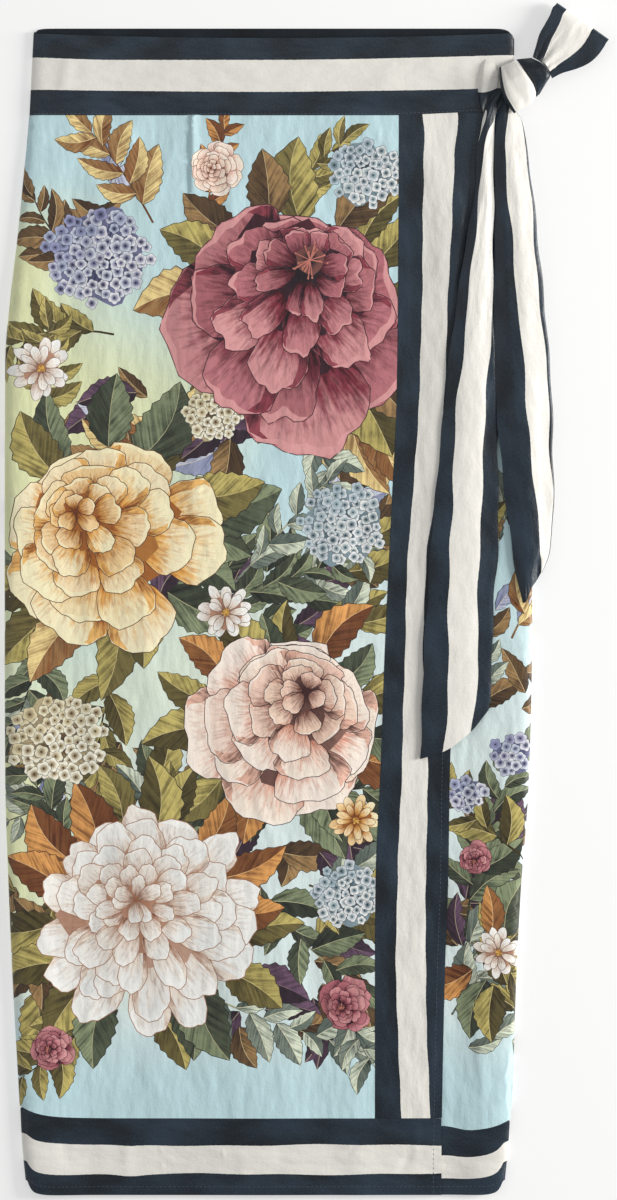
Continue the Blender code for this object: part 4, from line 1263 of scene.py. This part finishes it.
def printedPanel(name, outline, lay, sheet, node, under=False, spacing=7.0, seed=1, extra=()):
    # outline is flat, as (x, up); lay bends it into place
    flat, triangles, owner = fillFlat(outline, sheet.shapes, spacing, seed, extra)
    used, triangles = np.unique(triangles, return_inverse=True)
    flat = flat[used]
    triangles = allTurned(flat, triangles.reshape(-1, 3), 1)
    ring = np.array(edgeLoop(triangles.tolist()))
    innerFlat, innerFaces, _ = fillFlat(flat[ring], [], spacing * panelMesh["innerSpacing"], seed + 1)
    innerFaces = allTurned(innerFlat, innerFaces, -1)

    size = len(flat)
    flat = np.concatenate([flat, innerFlat])
    s, down = flat[:, 0], -flat[:, 1]
    points, normals = lay(s, down), facing(lay, s, down) * (-1 if under else 1)
    points[size:] -= normals[size:] * mirror * fit["sheetWall"]
    innerRing = np.arange(len(ring)) + size
    after, innerAfter = np.roll(ring, -1), np.roll(innerRing, -1)
    rim = [np.stack([after, ring, innerRing], -1), np.stack([after, innerRing, innerAfter], -1)]
    faces = np.concatenate([triangles, innerFaces + size, *rim])
    if under:
        faces = faces[:, ::-1]
    mesh = newMesh(name, points, faces.tolist())
    giveCloth(mesh, s, down)

    corners = faces.reshape(-1)
    owners = np.full(len(faces), -1)
    owners[: len(owner)] = owner
    for label, values in motifValues(sheet, np.repeat(owners, 3), flat[corners]).items():
        giveValues(mesh, label, "FLOAT_VECTOR" if label == "motif" else "FLOAT_COLOR", "CORNER", values)

    # the sheet's own normals on both faces, and flat ones on the cut edge
    normals[size:] *= -1
    a, b, c = toFrame(points)[faces[-2 * len(ring) :].T]
    custom = normals[corners]
    custom[-6 * len(ring) :] = np.repeat(unit(np.cross(b - a, c - a), 1e-12), 3, 0)
    mesh.normals_split_custom_set(custom.tolist())
    print(name, len(faces), "triangles,", len(sheet.shapes), "motifs")
    return settle(name, mesh, satinPrinted, node)


def panelOutline(left, right, top, bottom, lay, across=60, along=110):
    # a closed flat line round a panel, as (x, up)
    def edgeRow(line):
        level = line(0.0)
        s = np.linspace(left(level), right(level), across)
        return s, line(lay(s, np.full(across, level))[..., 0])

    (topS, topDown), (bottomS, bottomDown) = edgeRow(top), edgeRow(bottom)
    leftDown = np.linspace(topDown[0], bottomDown[0], along)
    rightDown = np.linspace(topDown[-1], bottomDown[-1], along)
    s = [topS, right(rightDown)[1:-1], bottomS[::-1], left(leftDown)[-2:0:-1]]
    down = [topDown, rightDown[1:-1], bottomDown[::-1], leftDown[-2:0:-1]]
    return np.stack([np.concatenate(s), -np.concatenate(down)], -1)


def shifted(line, by):
    return lambda x: line(x) + by


def backRoll(side, sign):
    return lambda down: side(down) - sign * (seamHeight(down) - gap - fit["backLip"]) + sign * fit["backArc"]


# Building the skirt

setStudio()
satinStriped, satinPrinted, thread = stripedSatin(), printedSatin(), threadFinish()
leftRoll = shifted(leftSide, reach - fit["rollArc"])
rightRoll = shifted(rightSide, fit["rollArc"] - reach)
underEdge = shifted(np.zeros_like, fit["underEdge"])
waistCut, hemCut = shifted(waistSeam, gap), shifted(hemSeam, -gap)

# over front
overLay = frontLay(frontHeight, fit["panelWall"], [atLeft], frontCreases)
overOutline = panelOutline(leftRoll, shifted(borderSeam, -gap), waistCut, hemCut, overLay)
dartDowns = np.arange(dartLine["start"], dartLine["end"] + 2, panelMesh["dartStep"])
dartPoints = [(dartLine["x"] + column, -d) for d in dartDowns for column in dartLine["columns"]]
overFront = printedPanel(
    "overFront", overOutline, overLay, makePrint(frontPrint, 11), "over_panel", seed=3,
    extra=dartPoints + creasePoints(frontCreases),
)


borderPull = {
    # height, distance from the seam and width of the lift and of the dip in it
    "lift": (2.9, 4, 38), "dip": (2.3, 42, 17), "start": 80, "rise": 60, "liftEnd": 500, "dipEnd": 330, "fade": 90,
}


def borderHeight(x, down):
    # the border is pulled up a little below the long tie, and dips beside it further up
    def raised(height, inset, width):
        return height * smooth((x - borderSeam(down) - inset) / width)

    def until(end):
        return smooth((end - down) / borderPull["fade"])

    pulled = smooth((down - borderPull["start"]) / borderPull["rise"]) * until(borderPull["liftEnd"])
    dip = raised(*borderPull["dip"]) * until(borderPull["dipEnd"])
    return frontHeight(x, down) + pulled * (raised(*borderPull["lift"]) - dip)


borderLay = frontLay(borderHeight, fit["bandWall"], creases=frontCreases)
borderEdges = [shifted(borderSeam, gap), gathered("left", 0.4), gathered("right", 1.7), freeEdge]
border = bandDown("frontBorder", borderLay, waistCut, hemCut, borderEdges, fit["stripWall"], "front_band")


def hemStripes(seam, shares, sway):
    # stripe edges at shares of the way from a hem's seam to its edge; those inside sway a little
    def edge(share):
        inside = smooth(8 * share * (1 - share))
        return lambda x: seam(x) + gap + (hemEdge(x) - seam(x) - gap) * share + sway(x, share) * inside

    return [edge(share) for share in shares]


hemWeave = {
    # size, length and turn of each wave, and the bulge left of the middle
    "waves": [(0.5, 31.0, 9), (0.35, 11.0, 5)], "bulge": 1.6, "bulgeAt": -108, "bulgeWidth": 13,
    "cornerClimb": (5.0, 18.0),
}


def woven(x, share):
    waves = sum(size * np.sin(x / length + turn * share) for size, length, turn in hemWeave["waves"])
    bulge = hemWeave["bulge"] * bell((x - hemWeave["bulgeAt"]) / hemWeave["bulgeWidth"])
    return waves + bulge * smooth(share * 2)


def cornered(x, share):
    return -corner(x, fit["hemSeam"], *hemWeave["cornerClimb"])


hemEdges = hemStripes(hemSeam, (0, 0.345, 0.725, 1), woven)
overBandLay = frontLay(
    lambda x, down: frontHeight(x, down) + creaseHeight(hemCreases, x, down), fit["bandWall"], [atLeft]
)
overHem = bandAlong(
    "overHem", overBandLay, fit["hemLevel"], leftRoll, freeEdge, hemEdges, fit["stripWall"], "over_hem_band"
)
print("over front laid")

# under front
underLay = frontLay(underHeight, fit["panelWall"], [atRight], underCreases)
underOutline = panelOutline(underEdge, rightRoll, waistCut, shifted(underHemSeam, -gap), underLay)
underFront = printedPanel(
    "underFront", underOutline, underLay, makePrint(underPrint, 5, 18), "under_panel", spacing=9.0, seed=5,
    extra=creasePoints(underCreases),
)
underBandLay = frontLay(underHeight, fit["bandWall"], [atRight])
underHemEdges = hemStripes(underHemSeam, (0, 0.43, 0.765, 1), cornered)
underHem = bandAlong(
    "underHem", underBandLay, fit["hemLevel"], underEdge, rightRoll, underHemEdges, fit["stripWall"], "under_hem_band"
)
print("under front laid")

# back
backSheetLay = backLay(backCreases)
backLeft, backRight = backRoll(*atLeft), backRoll(*atRight)
backOutline = panelOutline(backLeft, backRight, waistCut, hemCut, backSheetLay)
back = printedPanel(
    "back", backOutline, backSheetLay, makePrint(backPrint, 9, 14), "back_panel", under=True, spacing=11.0, seed=8
)
backBandLay = backLay(noCreases)
backHem = bandAlong(
    "backHem", backBandLay, fit["hemLevel"], backLeft, backRight, hemEdges, fit["stripWall"], "back_hem_band",
    flip=True,
)
print("back laid")

# waistband
waistLines = {
    "x": [-190, -115, 0, 60, 130, 190],
    "lightTop": [22.5, 24.6, 24.6, 24, 22.4, 20.8],
    "lightBottom": [47.6, 48.4, 49.2, 48.6, 47.6, 46],
}
waistMake = {"wall": 1.0, "backWall": 1.3, "underInset": 4.0}
waistStripe = [curve(waistLines, "lightTop"), curve(waistLines, "lightBottom")]
waistLay = frontLay(waistHeight, fit["waistWall"], [atLeft, atRight])
waistFront = bandAlong(
    "waistFront", waistLay, fit["waistLevel"], leftRoll, rightRoll,
    [frontTop, *waistStripe, shifted(waistSeam, fit["seamLap"])], waistMake["wall"], "waistband_front",
)
# the back waistband's inner face, which shows above the front band, gets painted shade (inside=1.0)
waistBack = bandAlong(
    "waistBack", backBandLay, fit["waistLevel"], backLeft, backRight,
    [backTop, *waistStripe, shifted(waistSeam, -gap)], waistMake["backWall"], "waistband_back",
    flip=True, inside=1.0,
)
waistUnderLay = frontLay(lambda x, down: np.full_like(x, fit["layer"]), fit["waistWall"])
waistUnder = bandAlong(
    "waistUnder", waistUnderLay, fit["waistLevel"], underEdge, shifted(rightSide, -reach - waistMake["underInset"]),
    [frontTop, *waistStripe, shifted(waistSeam, -gap)], waistMake["wall"], "waistband_under",
)
print("waistband laid")

# Ties: the waistband's end is drawn up, wraps once round and leaves a half bow and two ends

longEnd = {
    "down": [47.7, 53.9, 60.8, 66.2, 71.6, 80.1, 93.9, 132.4, 170.9, 209.4, 240.2, 286.4, 301.8, 363.4, 401.9,
             440.4, 489.7, 515.1, 540.5, 562.9],
    "left": [177.1, 170.6, 166.6, 164.9, 163.2, 162.3, 160.2, 156.8, 149.1, 144.3, 139.9, 134, 132.4, 127.6,
             123.2, 120.7, 118.6, 117.6, 116.1, 115],
    "back": [177.3, 170.8, 166.9, 166.6, 165.6, 162.9, 160.3, 157, 149.3, 144.5, 140.1, 134.1, 132.6, 127.7,
             123.4, 120.8, 118.7, 117.7, 116.3, 115.1],
    "toLight": [182, 178.2, 175.3, 173.4, 172.5, 168.3, 164.8, 160, 156.7, 152.2, 150.2, 143.2, 142.5, 140.9,
                137.8, 137.1, 137.8, 136.6, 134.8, 132.4],
    "toDark": [182.3, 178.4, 175.7, 173.7, 173.1, 172.5, 171.9, 171.7, 171.9, 171.9, 169.4, 165.9, 165.6, 162.9,
               160.9, 160.2, 160.5, 157.8, 154.8, 152.5],
    "right": [182.5, 178.6, 175.9, 174, 173.4, 172.8, 172.2, 172, 172.2, 172.2, 171.9, 175.1, 175.9, 175.6,
              175.1, 172.8, 170.9, 168.6, 166, 163],
}
longLie = {
    "down": [47.7, 53.9, 64.7, 93.9, 132.4, 170.9, 209.4, 240.2, 286.4, 363.4, 440.4, 489.7, 562.9],
    "rest": [6.5, 6.5, 6.5, 6.4, 6.5, 6.5, 6.4, 6.4, 6.3, 6.1, 5.8, 5.6, 5.5],
    "crown": [0.6, 1, 1.3, 1.6, 1.7, 1.8, 1.9, 1.9, 1.9, 1.8, 1.5, 1.5, 1.8],
    "pleat": [0, 0.3, 0.6, 0.9, 1.3, 1.6, 1.6, 1.5, 1.2, 0.6, 0, 0, 0],
    "tilt": [0, 0, 0.2, 0.8, 1.6, 2.2, 2.4, 2.4, 2.2, 1.8, 1.7, 1.7, 1.2],
}
longCut = {"share": [0, 0.35, 0.8, 1], "down": [562.9, 557.5, 540.5, 525.1]}
shortEnd = {
    "down": [52.4, 58.5, 65.5, 70.8, 93.9, 132.4, 170.9, 209.4, 240.2, 286.4, 317.2, 363.4, 401.9, 421.2,
             442.8],
    "left": [181.7, 178.6, 174.8, 172.7, 170.8, 170, 170.2, 170.2, 170.4, 173.2, 176, 181.7, 186.3, 189, 193.3],
    "toLight": [184, 184.4, 183.6, 183, 181, 182.5, 187.1, 189.8, 193.8, 196.3, 199.8, 204.7, 207.7, 207.7,
                201.3],
    "toDark": [187.6, 187.3, 189.9, 193.4, 196.5, 200.6, 204.1, 207.5, 210.2, 214.6, 215.3, 217.6, 214.2, 208.4,
               201.5],
    "right": [187.9, 187.6, 190.2, 193.7, 197.7, 202.4, 207.4, 211.4, 213.3, 217.1, 218.3, 218.4, 214.8, 208.7,
              201.7],
}
shortLie = {
    "down": [52.4, 58.5, 65.5, 70.8, 93.9, 132.4, 170.9, 209.4, 240.2, 286.4, 363.4, 401.9, 442.8],
    "rest": [6.5, 6.5, 6.6, 6.8, 6.9, 7, 7, 7, 7, 7, 7, 7, 7],
    "crown": [0.6, 1, 1.4, 1.6, 1.8, 1.9, 1.9, 1.9, 1.9, 1.9, 1.8, 1.8, 1.4],
    "pleat": [0, 0.4, 0.9, 1.3, 1.9, 2.2, 2.2, 2, 1.8, 1.4, 0.6, 0.3, 0],
    "tilt": [0, 0, 0, 0, 0, 0.2, 0.6, 1, 1.2, 1.4, 1.2, 1, 0.5],
}
shortCut = {"share": [0, 0.4, 1], "down": [442.8, 442, 418.9]}
# first is the stripe value of the left edge, and the back of the cloth shows between backFrom and backUntil.
# Each pleat has its share across, depth, width and how far down it reaches.
longMake = {
    "first": -1, "steps": 300, "droop": 0.0, "tuck": 0.0, "backFrom": 64.0, "backUntil": 86.0, "lightFrom": 68.0,
    "pleats": [
        (0.16, -0.7, 0.05, 160), (0.34, 0.3, 0.07, 240), (0.52, -0.35, 0.06, 200), (0.7, 0.25, 0.07, 170),
        (0.86, -0.5, 0.04, 260), (0.24, -0.3, 0.07, 480), (0.66, 0.3, 0.09, 520),
    ],
}
shortMake = {
    "first": 0, "steps": 200, "droop": 2.4, "tuck": 2.4, "backFrom": 0.0, "backUntil": 0.0, "lightFrom": 0.0,
    "pleats": [
        (0.15, -2.2, 0.035, 900), (0.33, 0.6, 0.06, 240), (0.45, -0.6, 0.045, 210), (0.62, 0.4, 0.06, 240),
        (0.76, -0.5, 0.05, 170), (0.9, 0.3, 0.05, 300), (0.52, 0.3, 0.1, 420),
    ],
}
tieMake = {
    "wall": 1.4, "shownWall": 1.0, "foldWall": 0.9, "droopStart": 6.0, "droopWidth": 32.0, "waver": 0.55,
    "tuckUntil": 300.0, "tuckWidth": 0.1, "edge": 0.5, "edgeWidth": 0.8, "drawnWidth": 26.0, "stripe": 38,
    # lengths of the waver and how soon it starts; where the pleats start, and how soon they are full
    "short": 8.5, "long": 21.0, "waverStart": 60, "pleatStart": 18, "pleatRise": 50.0,
    # the main pleat's rise, its falling share and width, and the dent along its middle
    "rise": 0.24, "level": 0.7, "fall": 0.3, "fallWidth": 0.5, "dent": 0.2, "dentWidth": 0.12, "tiltPower": 1.3,
}


def tieEnd(name, table, lie, cut, make, node):
    share = stops(len(table) - 1, 6)
    v = np.linspace(0, 1, make["steps"])[:, None]
    start, end = table["down"][0], table["down"][-1]
    down = start + (end - start) * v + 0 * share
    phases = [min(max(k + make["first"], 0), 2) for k in range(len(table) - 1)]
    for attempt in range(3):
        waver = tieMake["waver"] * smooth((down - start) / tieMake["waverStart"])
        edges = np.array([
            line + waver * (np.sin(down / tieMake["short"] + 2 * phase) + np.sin(down / tieMake["long"] + phase))
            for line, phase in zip(columnsAt(table, down).values(), phases)
        ])
        x, width = spread(edges, share), edges[-1] - edges[0]
        s = (x - edges[0]) / np.maximum(width, 0.5)
        down = start + (curve(cut, "down")(s) - start) * v
    lies = columnsAt(lie, down)
    fall = make["droop"] * smooth((x - rightSide(down) + tieMake["droopStart"]) / tieMake["droopWidth"])
    opened = smooth((width + 4) / tieMake["drawnWidth"])  # 0 where the tie is drawn together
    falling = tieMake["level"] + tieMake["fall"] * smooth((1 - s) / tieMake["fallWidth"])
    dented = 1 - tieMake["dent"] * bell((s - 0.5) / tieMake["dentWidth"])
    plateau = smooth(s / tieMake["rise"]) * falling * dented
    z = lies["rest"] + lies["crown"] * np.sin(math.pi * s) ** 2 + opened * lies["pleat"] * plateau
    z = z + lies["tilt"] * (1 - s) ** tieMake["tiltPower"] - fall + tieMake["wall"]
    tucked = make["tuck"] * smooth((down - start) / 30.0) * smooth((tieMake["tuckUntil"] - down) / 60)
    z = z - tucked * bell(s / tieMake["tuckWidth"])
    for place, depth, size, reachDown in make["pleats"]:
        fade = np.clip(1 - (down - start) / reachDown, 0, 1) * opened
        begun = smooth((down - start - tieMake["pleatStart"]) / tieMake["pleatRise"])
        z = z + depth * begun * fade * bell((s - place) / size)
    z = z - tieMake["edge"] * bell(np.minimum(s, 1 - s) * width / tieMake["edgeWidth"])
    outer = np.stack([x, down, z], -1)
    stripe = np.tile(share + make["first"], (make["steps"], 1))
    covered = (down > make["backUntil"]) | (down < make["backFrom"])
    stripe = np.where((stripe < 0.1) & covered, 0.1, stripe)
    stripe = np.where((stripe > 0.9) & (stripe < 2.1) & (down < make["lightFrom"]), 0.9, stripe)
    wall = tieMake["shownWall"]
    return gridShell(name, outer, gridFacing(outer), wall, stripe, s * tieMake["stripe"], down, node)


longTie = tieEnd("longTie", longEnd, longLie, longCut, longMake, "tie_tail_long")
shortTie = tieEnd("shortTie", shortEnd, shortLie, shortCut, shortMake, "tie_tail_short")

gatherLines = {
    "down": [24.3, 26.2, 29.3, 35.4, 41.6, 47.7, 50.8, 53.9, 58.5, 62.4, 64.7],
    "left": [165.9, 164, 162.5, 161.3, 160.5, 160.2, 160.2, 160.5, 161.1, 162.2, 163.1],
    "right": [169.8, 171.6, 173.4, 175.1, 175.3, 173.8, 171.2, 168.6, 166, 164.8, 164.5],
    "crown": [0.2, 0.6, 1.3, 2.3, 2.9, 2.8, 2.3, 2.2, 1.9, 1.3, 0.5],
}
gatherMake = {
    "bed": 6.3, "seam": 49.6, "seamBow": 0.9, "seamClimb": 2.6, "lip": 0.4, "lipWidth": 0.07, "puff": 0.6,
    "columns": 22, "ivoryRows": 26, "darkRows": 17, "cloth": (1.6, 2), "foldWeight": 0.6,
}
gatherFolds = [  # down, depth, width, slope
    (31, -0.5, 1.2, 1), (36, 0.4, 1.6, 0.4), (41, -0.6, 1.0, -0.4), (46, -0.4, 1.1, -0.8), (54, -0.4, 1.4, -0.6),
]


def gatheredEnd():
    # the ivory stripe bulges up to the knot and the dark stripe below it ends in a round drop
    s = np.linspace(0, 1, gatherMake["columns"])
    seam = gatherMake["seam"] + gatherMake["seamBow"] * np.sin(math.pi * s) - gatherMake["seamClimb"] * s**2
    ivory, dark = np.linspace(0, 1, gatherMake["ivoryRows"]), np.linspace(1, 2, gatherMake["darkRows"])
    v = np.concatenate([ivory, dark[1:]])[:, None]
    top, bottom = gatherLines["down"][0], gatherLines["down"][-1]
    down = np.where(v <= 1, top + (seam - top) * v, seam + (bottom - seam) * (v - 1))
    at = columnsAt(gatherLines, down)
    x = at["left"] + (at["right"] - at["left"]) * s
    z = gatherMake["bed"] + at["crown"] * (0.4 * smooth(s / 0.22) + 0.55 * np.sin(math.pi * s**0.75))
    for place, depth, width, slope in gatherFolds:
        z = z + gatherMake["foldWeight"] * depth * bell((down - place - slope * s * 4) / width) * s
    z = z + gatherMake["puff"] * smooth(s / 0.2) * smooth((down - top) / 6)
    z = z - gatherMake["lip"] * bell(s / gatherMake["lipWidth"])
    outer = np.stack([x, down, z], -1)
    stripe = np.where(v <= 1, 1.02 + 0.98 * v, 1 + v) + 0 * s
    across, along = down * gatherMake["cloth"][0], x * gatherMake["cloth"][1]
    return gridShell("drawnEnd", outer, gridFacing(outer), tieMake["foldWall"], stripe, across, along, "tie_root")


drawnEnd = gatheredEnd()

strapLines = {
    "at": [0, 0.2, 0.4, 0.6, 0.8, 1],
    "left": [176.3, 176.3, 177.1, 178.9, 183.3, 187.5],
    "leftDown": [30.8, 37.7, 46.2, 53.9, 61.2, 66.6],
    "right": [188.7, 193.7, 197.9, 202.5, 204.3, 202.5],
    "rightDown": [25, 31.2, 37.7, 45.4, 51.6, 57.4],
    "under": [6.6, 6.8, 8.6, 10.2, 10.4, 10.6],
    "top": [9.6, 15, 18.6, 19.4, 17.6, 13.6],
}
neckLines = {
    "at": [0, 0.2, 0.4, 0.6, 0.8, 1],
    "left": [189.5, 193.5, 197.8, 202.3, 204.2, 204.6],
    "leftDown": [24.6, 30.2, 37, 44.6, 50.2, 53.4],
    "right": [201.2, 209.1, 213.5, 215.6, 212.1, 207.6],
    "rightDown": [23.4, 27.8, 32.2, 37, 43.5, 51],
    "under": [6, 5.4, 5, 4.8, 5, 5.8],
    "top": [9.4, 14.4, 16.6, 16, 13, 9],
}
knotMake = {
    "steps": 56, "around": 56, "cloth": (18, 30), "squareAcross": 0.7, "squareUp": 0.75, "endFade": 0.12,
    # share across, depth, width, lean along the band
    "strapPleats": [(0.4, -0.45, 0.09, 0.34), (0.68, -0.25, 0.1, -0.25), (0.12, -0.5, 0.03, 0.02)],
    "neckPleats": [(0.3, -0.25, 0.1, 0.3), (0.64, -0.3, 0.1, -0.2)],
}


def acrossBand(edges, s):
    # x and down at a share of the way from the band's left edge to its right one
    pairs = ("left", "right"), ("leftDown", "rightDown")
    return [edges[start] + (edges[end] - edges[start]) * s for start, end in pairs]


def wrappedBand(name, table, pleats, stripeAt, node):
    # folded cloth: a full rounded section swept along the band, with pleats on its top
    steps, around = knotMake["steps"], knotMake["around"]
    at = np.linspace(0, 1, steps)[:, None]
    turn = 2 * math.pi * np.arange(around) / around
    across, up = -np.cos(turn), np.sin(turn)
    s = 0.5 + 0.5 * np.sign(across) * np.abs(across) ** knotMake["squareAcross"]
    value = columnsAt(table, at)
    x, down = acrossBand(value, s)
    half = (value["top"] - value["under"]) / 2
    z = (value["top"] + value["under"]) / 2 + half * np.sign(up) * np.abs(up) ** knotMake["squareUp"]
    ends = within(at, 0, 1, knotMake["endFade"])
    for place, depth, width, lean in knotMake[pleats]:
        z = z + depth * ends * np.clip(up, 0, 1) * bell((s - place - lean * (at - 0.5)) / width)
    index = np.arange(steps * around).reshape(steps, around)
    after = np.roll(index, -1, 1)
    faces = np.stack([index[:-1], index[1:], after[1:], after[:-1]], -1).reshape(-1, 4).tolist()
    faces += [index[0].tolist(), index[-1][::-1].tolist()]
    mesh = newMesh(name, np.stack([x, down, z], -1).reshape(-1, 3), faces)
    giveValues(mesh, "stripe", "FLOAT", "POINT", stripeAt(s + 0 * at))
    giveCloth(mesh, s * knotMake["cloth"][0], at * knotMake["cloth"][1])
    return settle(name, mesh, satinStriped, node)


def strapStripe(s):
    return 1 + (s - 0.1) * np.where(s < 0.1, 5, 1.08)


strap = wrappedBand("knotStrap", strapLines, "strapPleats", strapStripe, "knot_strap")
neck = wrappedBand("knotNeck", neckLines, "neckPleats", lambda s: 0.5 + 0 * s, "knot_neck")

loopLines = {
    "at": [0, 0.2, 0.4, 0.6, 0.75, 0.9, 1],
    "left": [202.3, 204.6, 207, 211.8, 215.8, 218.5, 221.3],
    "leftDown": [22.5, 14.8, 6.2, -2.7, -10, -16.2, -19.2],
    "right": [217.2, 225, 236.4, 245.6, 252.6, 258, 261],
    "rightDown": [38.9, 34.8, 31.2, 26.9, 20.8, 13.6, 8.9],
    "upper": [10.2, 10.2, 10, 9.8, 9.5, 9, 8.4],
    "lower": [6.4, 5.2, 4, 3, 2.4, 2, 2],
    "bow": [2.6, 2.4, 2, 1.4, 1, 0.5, 0],
    "toLight": [0.365, 0.3, 0.255, 0.22, 0.2, 0.19, 0.185],
    "toDark": [0.81, 0.76, 0.735, 0.72, 0.71, 0.705, 0.7],
}
loopMake = {
    "crown": 1.3, "outX": 0.65, "outUp": 0.76, "stripe": 62, "runStep": 1.6, "rows": 34, "foldRows": 10,
    "columns": 7, "bendPower": 8, "flatPower": 4, "flatShare": 0.5, "pleatPower": 1.3,
}
loopPleats = [  # share across, depth, width
    (0.16, -1.0, 0.05), (0.36, -1.7, 0.04), (0.5, 0.8, 0.05), (0.62, -1.4, 0.04), (0.8, -1.5, 0.035),
    (0.9, 0.5, 0.05),
]


def bowLoop():
    # out along the upper layer, round the far fold and back below
    there, fold = np.linspace(0, 1, loopMake["rows"]), np.linspace(0, 1, loopMake["foldRows"])[1:-1]
    at = np.concatenate([there, np.ones(len(fold)), there[::-1]])[:, None]
    turn = np.concatenate([0 * there, fold, 0 * there + 1])[:, None]
    share = stops(4, loopMake["columns"])
    value = columnsAt(loopLines, at)
    s = spread(np.array([0 * at, value["toLight"], value["toDark"], 0 * at + 1]), share)
    lower = value["lower"] + tieMake["wall"]
    radius = (value["upper"] - lower) / 2
    height = lower + (value["upper"] - lower) * (1 + np.cos(math.pi * turn)) / 2
    bend = radius * (np.sin(math.pi * turn) - 1) - tieMake["wall"]
    out = value["bow"] * np.sin(math.pi * s) + bend * at ** loopMake["bendPower"]
    flattened = 1 - loopMake["flatShare"] * at ** loopMake["flatPower"]
    crown = loopMake["crown"] * np.sin(math.pi * s) * (1 - turn) * flattened
    for place, depth, width in loopPleats:
        fade = (1 - at) ** loopMake["pleatPower"]
        crown = crown + depth * (1 - turn) * fade * bell((s - place) / width)
    x, down = acrossBand(value, s)
    x, down = x + loopMake["outX"] * out, down - loopMake["outUp"] * out
    inner = np.stack([x, down, height + crown], -1)[:, ::-1]
    facingOut = gridFacing(inner)
    outer = inner + facingOut * mirror * tieMake["wall"]
    stripe = (share + 0 * at)[:, ::-1]
    across, run = s[:, ::-1] * loopMake["stripe"], loopMake["runStep"] * np.arange(1, len(at) + 1)[:, None]
    return gridShell("bowLoop", outer, facingOut, tieMake["foldWall"], stripe, across, run, "tie_loop")


loop = bowLoop()
print("bow tied")

# Stitches: short raised threads along the seams and hems

stitches = {
    "seam": {"Pitch": 0.0031, "Length": 0.002, "Thread": 0.00034},
    "top": {"Pitch": 0.0034, "Length": 0.0026, "Thread": 0.0003},
    "seamInset": 0.9, "hemInset": 6.4, "edgeInset": 6.0, "lift": 0.02,
    # where each run starts and ends, and its points
    "waistRun": (-180, 158, 120), "overHemRun": (-186, 131.5, 130), "underHemRun": (134, 176, 30),
    "borderRun": (72, 836, 200), "cornerRun": (842, 896, 20),
}


def stitchTree():
    tree = bpy.data.node_groups.new("stitchRun", "GeometryNodeTree")
    sockets = {"Geometry": "Geometry", "Pitch": "Float", "Length": "Float", "Thread": "Float", "Finish": "Material"}
    for label, kind in sockets.items():
        tree.interface.new_socket(label, in_out="INPUT", socket_type="NodeSocket" + kind)
    tree.interface.new_socket("Geometry", in_out="OUTPUT", socket_type="NodeSocketGeometry")
    kinds = {
        "given": "NodeGroupInput", "line": "GeometryNodeMeshToCurve", "resample": "GeometryNodeResampleCurve",
        "ball": "GeometryNodeMeshUVSphere", "shape": "ShaderNodeCombineXYZ", "tangent": "GeometryNodeInputTangent",
        "align": "FunctionNodeAlignRotationToVector", "copies": "GeometryNodeInstanceOnPoints",
        "realize": "GeometryNodeRealizeInstances", "finish": "GeometryNodeSetMaterial", "result": "NodeGroupOutput",
    }
    node = {name: tree.nodes.new(kind) for name, kind in kinds.items()}
    node["resample"].mode = "LENGTH"
    node["align"].axis = "X"
    for label, value in {"Segments": 6, "Rings": 4, "Radius": 0.5}.items():
        node["ball"].inputs[label].default_value = value
    for source, output, target, socket in (
        ("given", "Geometry", "line", "Mesh"), ("line", "Curve", "resample", "Curve"),
        ("given", "Pitch", "resample", "Length"), ("tangent", "Tangent", "align", "Vector"),
        ("given", "Length", "shape", "X"), ("given", "Thread", "shape", "Y"), ("given", "Thread", "shape", "Z"),
        ("resample", "Curve", "copies", "Points"), ("ball", "Mesh", "copies", "Instance"),
        ("align", "Rotation", "copies", "Rotation"), ("shape", "Vector", "copies", "Scale"),
        ("copies", "Instances", "realize", "Geometry"), ("realize", "Geometry", "finish", "Geometry"),
        ("given", "Finish", "finish", "Material"), ("finish", "Geometry", "result", "Geometry"),
    ):
        tree.links.new(node[source].outputs[output], node[target].inputs[socket])
    return tree


stitchNodes = stitchTree()


def stitchRun(name, sizes, *lines):
    places, edges = [], []
    for line in lines:
        start = len(places)
        places += toFrame(line).tolist()
        edges += [(k, k + 1) for k in range(start, len(places) - 1)]
    mesh = bpy.data.meshes.new(name + "Line")
    mesh.from_pydata(places, edges, [])
    guide = placed(name + "Line", mesh)
    run = guide.modifiers.new("stitches", "NODES")
    run.node_group = stitchNodes
    wanted = {**sizes, "Finish": thread}
    for item in stitchNodes.interface.items_tree:
        if item.in_out == "INPUT" and item.name in wanted:
            run[item.identifier] = wanted[item.name]
    made = bpy.data.meshes.new_from_object(guide.evaluated_get(bpy.context.evaluated_depsgraph_get()))
    made.name = name
    made.shade_smooth()
    piece = placed(name, made)
    bpy.data.objects.remove(guide, do_unlink=True)
    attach(piece, "root")
    print(name, len(made.polygons), "faces")


def onCloth(lay, s, down):
    return lay(s, down) + facing(lay, s, down) * mirror * stitches["lift"]


def acrossRun(lay, name, line, inset):
    x = np.linspace(*stitches[name])
    return onCloth(lay, x, line(x) - stitches[inset])


def downRun(lay, name):
    down = np.linspace(*stitches[name])
    return onCloth(lay, freeEdge(down) - stitches["edgeInset"], down)


overHemRun = acrossRun(overBandLay, "overHemRun", hemEdge, "hemInset")
underHemRun = acrossRun(underBandLay, "underHemRun", hemEdge, "hemInset")
stitchRun("waistStitches", stitches["seam"], acrossRun(waistLay, "waistRun", waistSeam, "seamInset"))
stitchRun("hemStitches", stitches["top"], overHemRun, underHemRun)
stitchRun("edgeStitches", stitches["top"], downRun(borderLay, "borderRun"), downRun(overBandLay, "cornerRun"))
print("stitched")
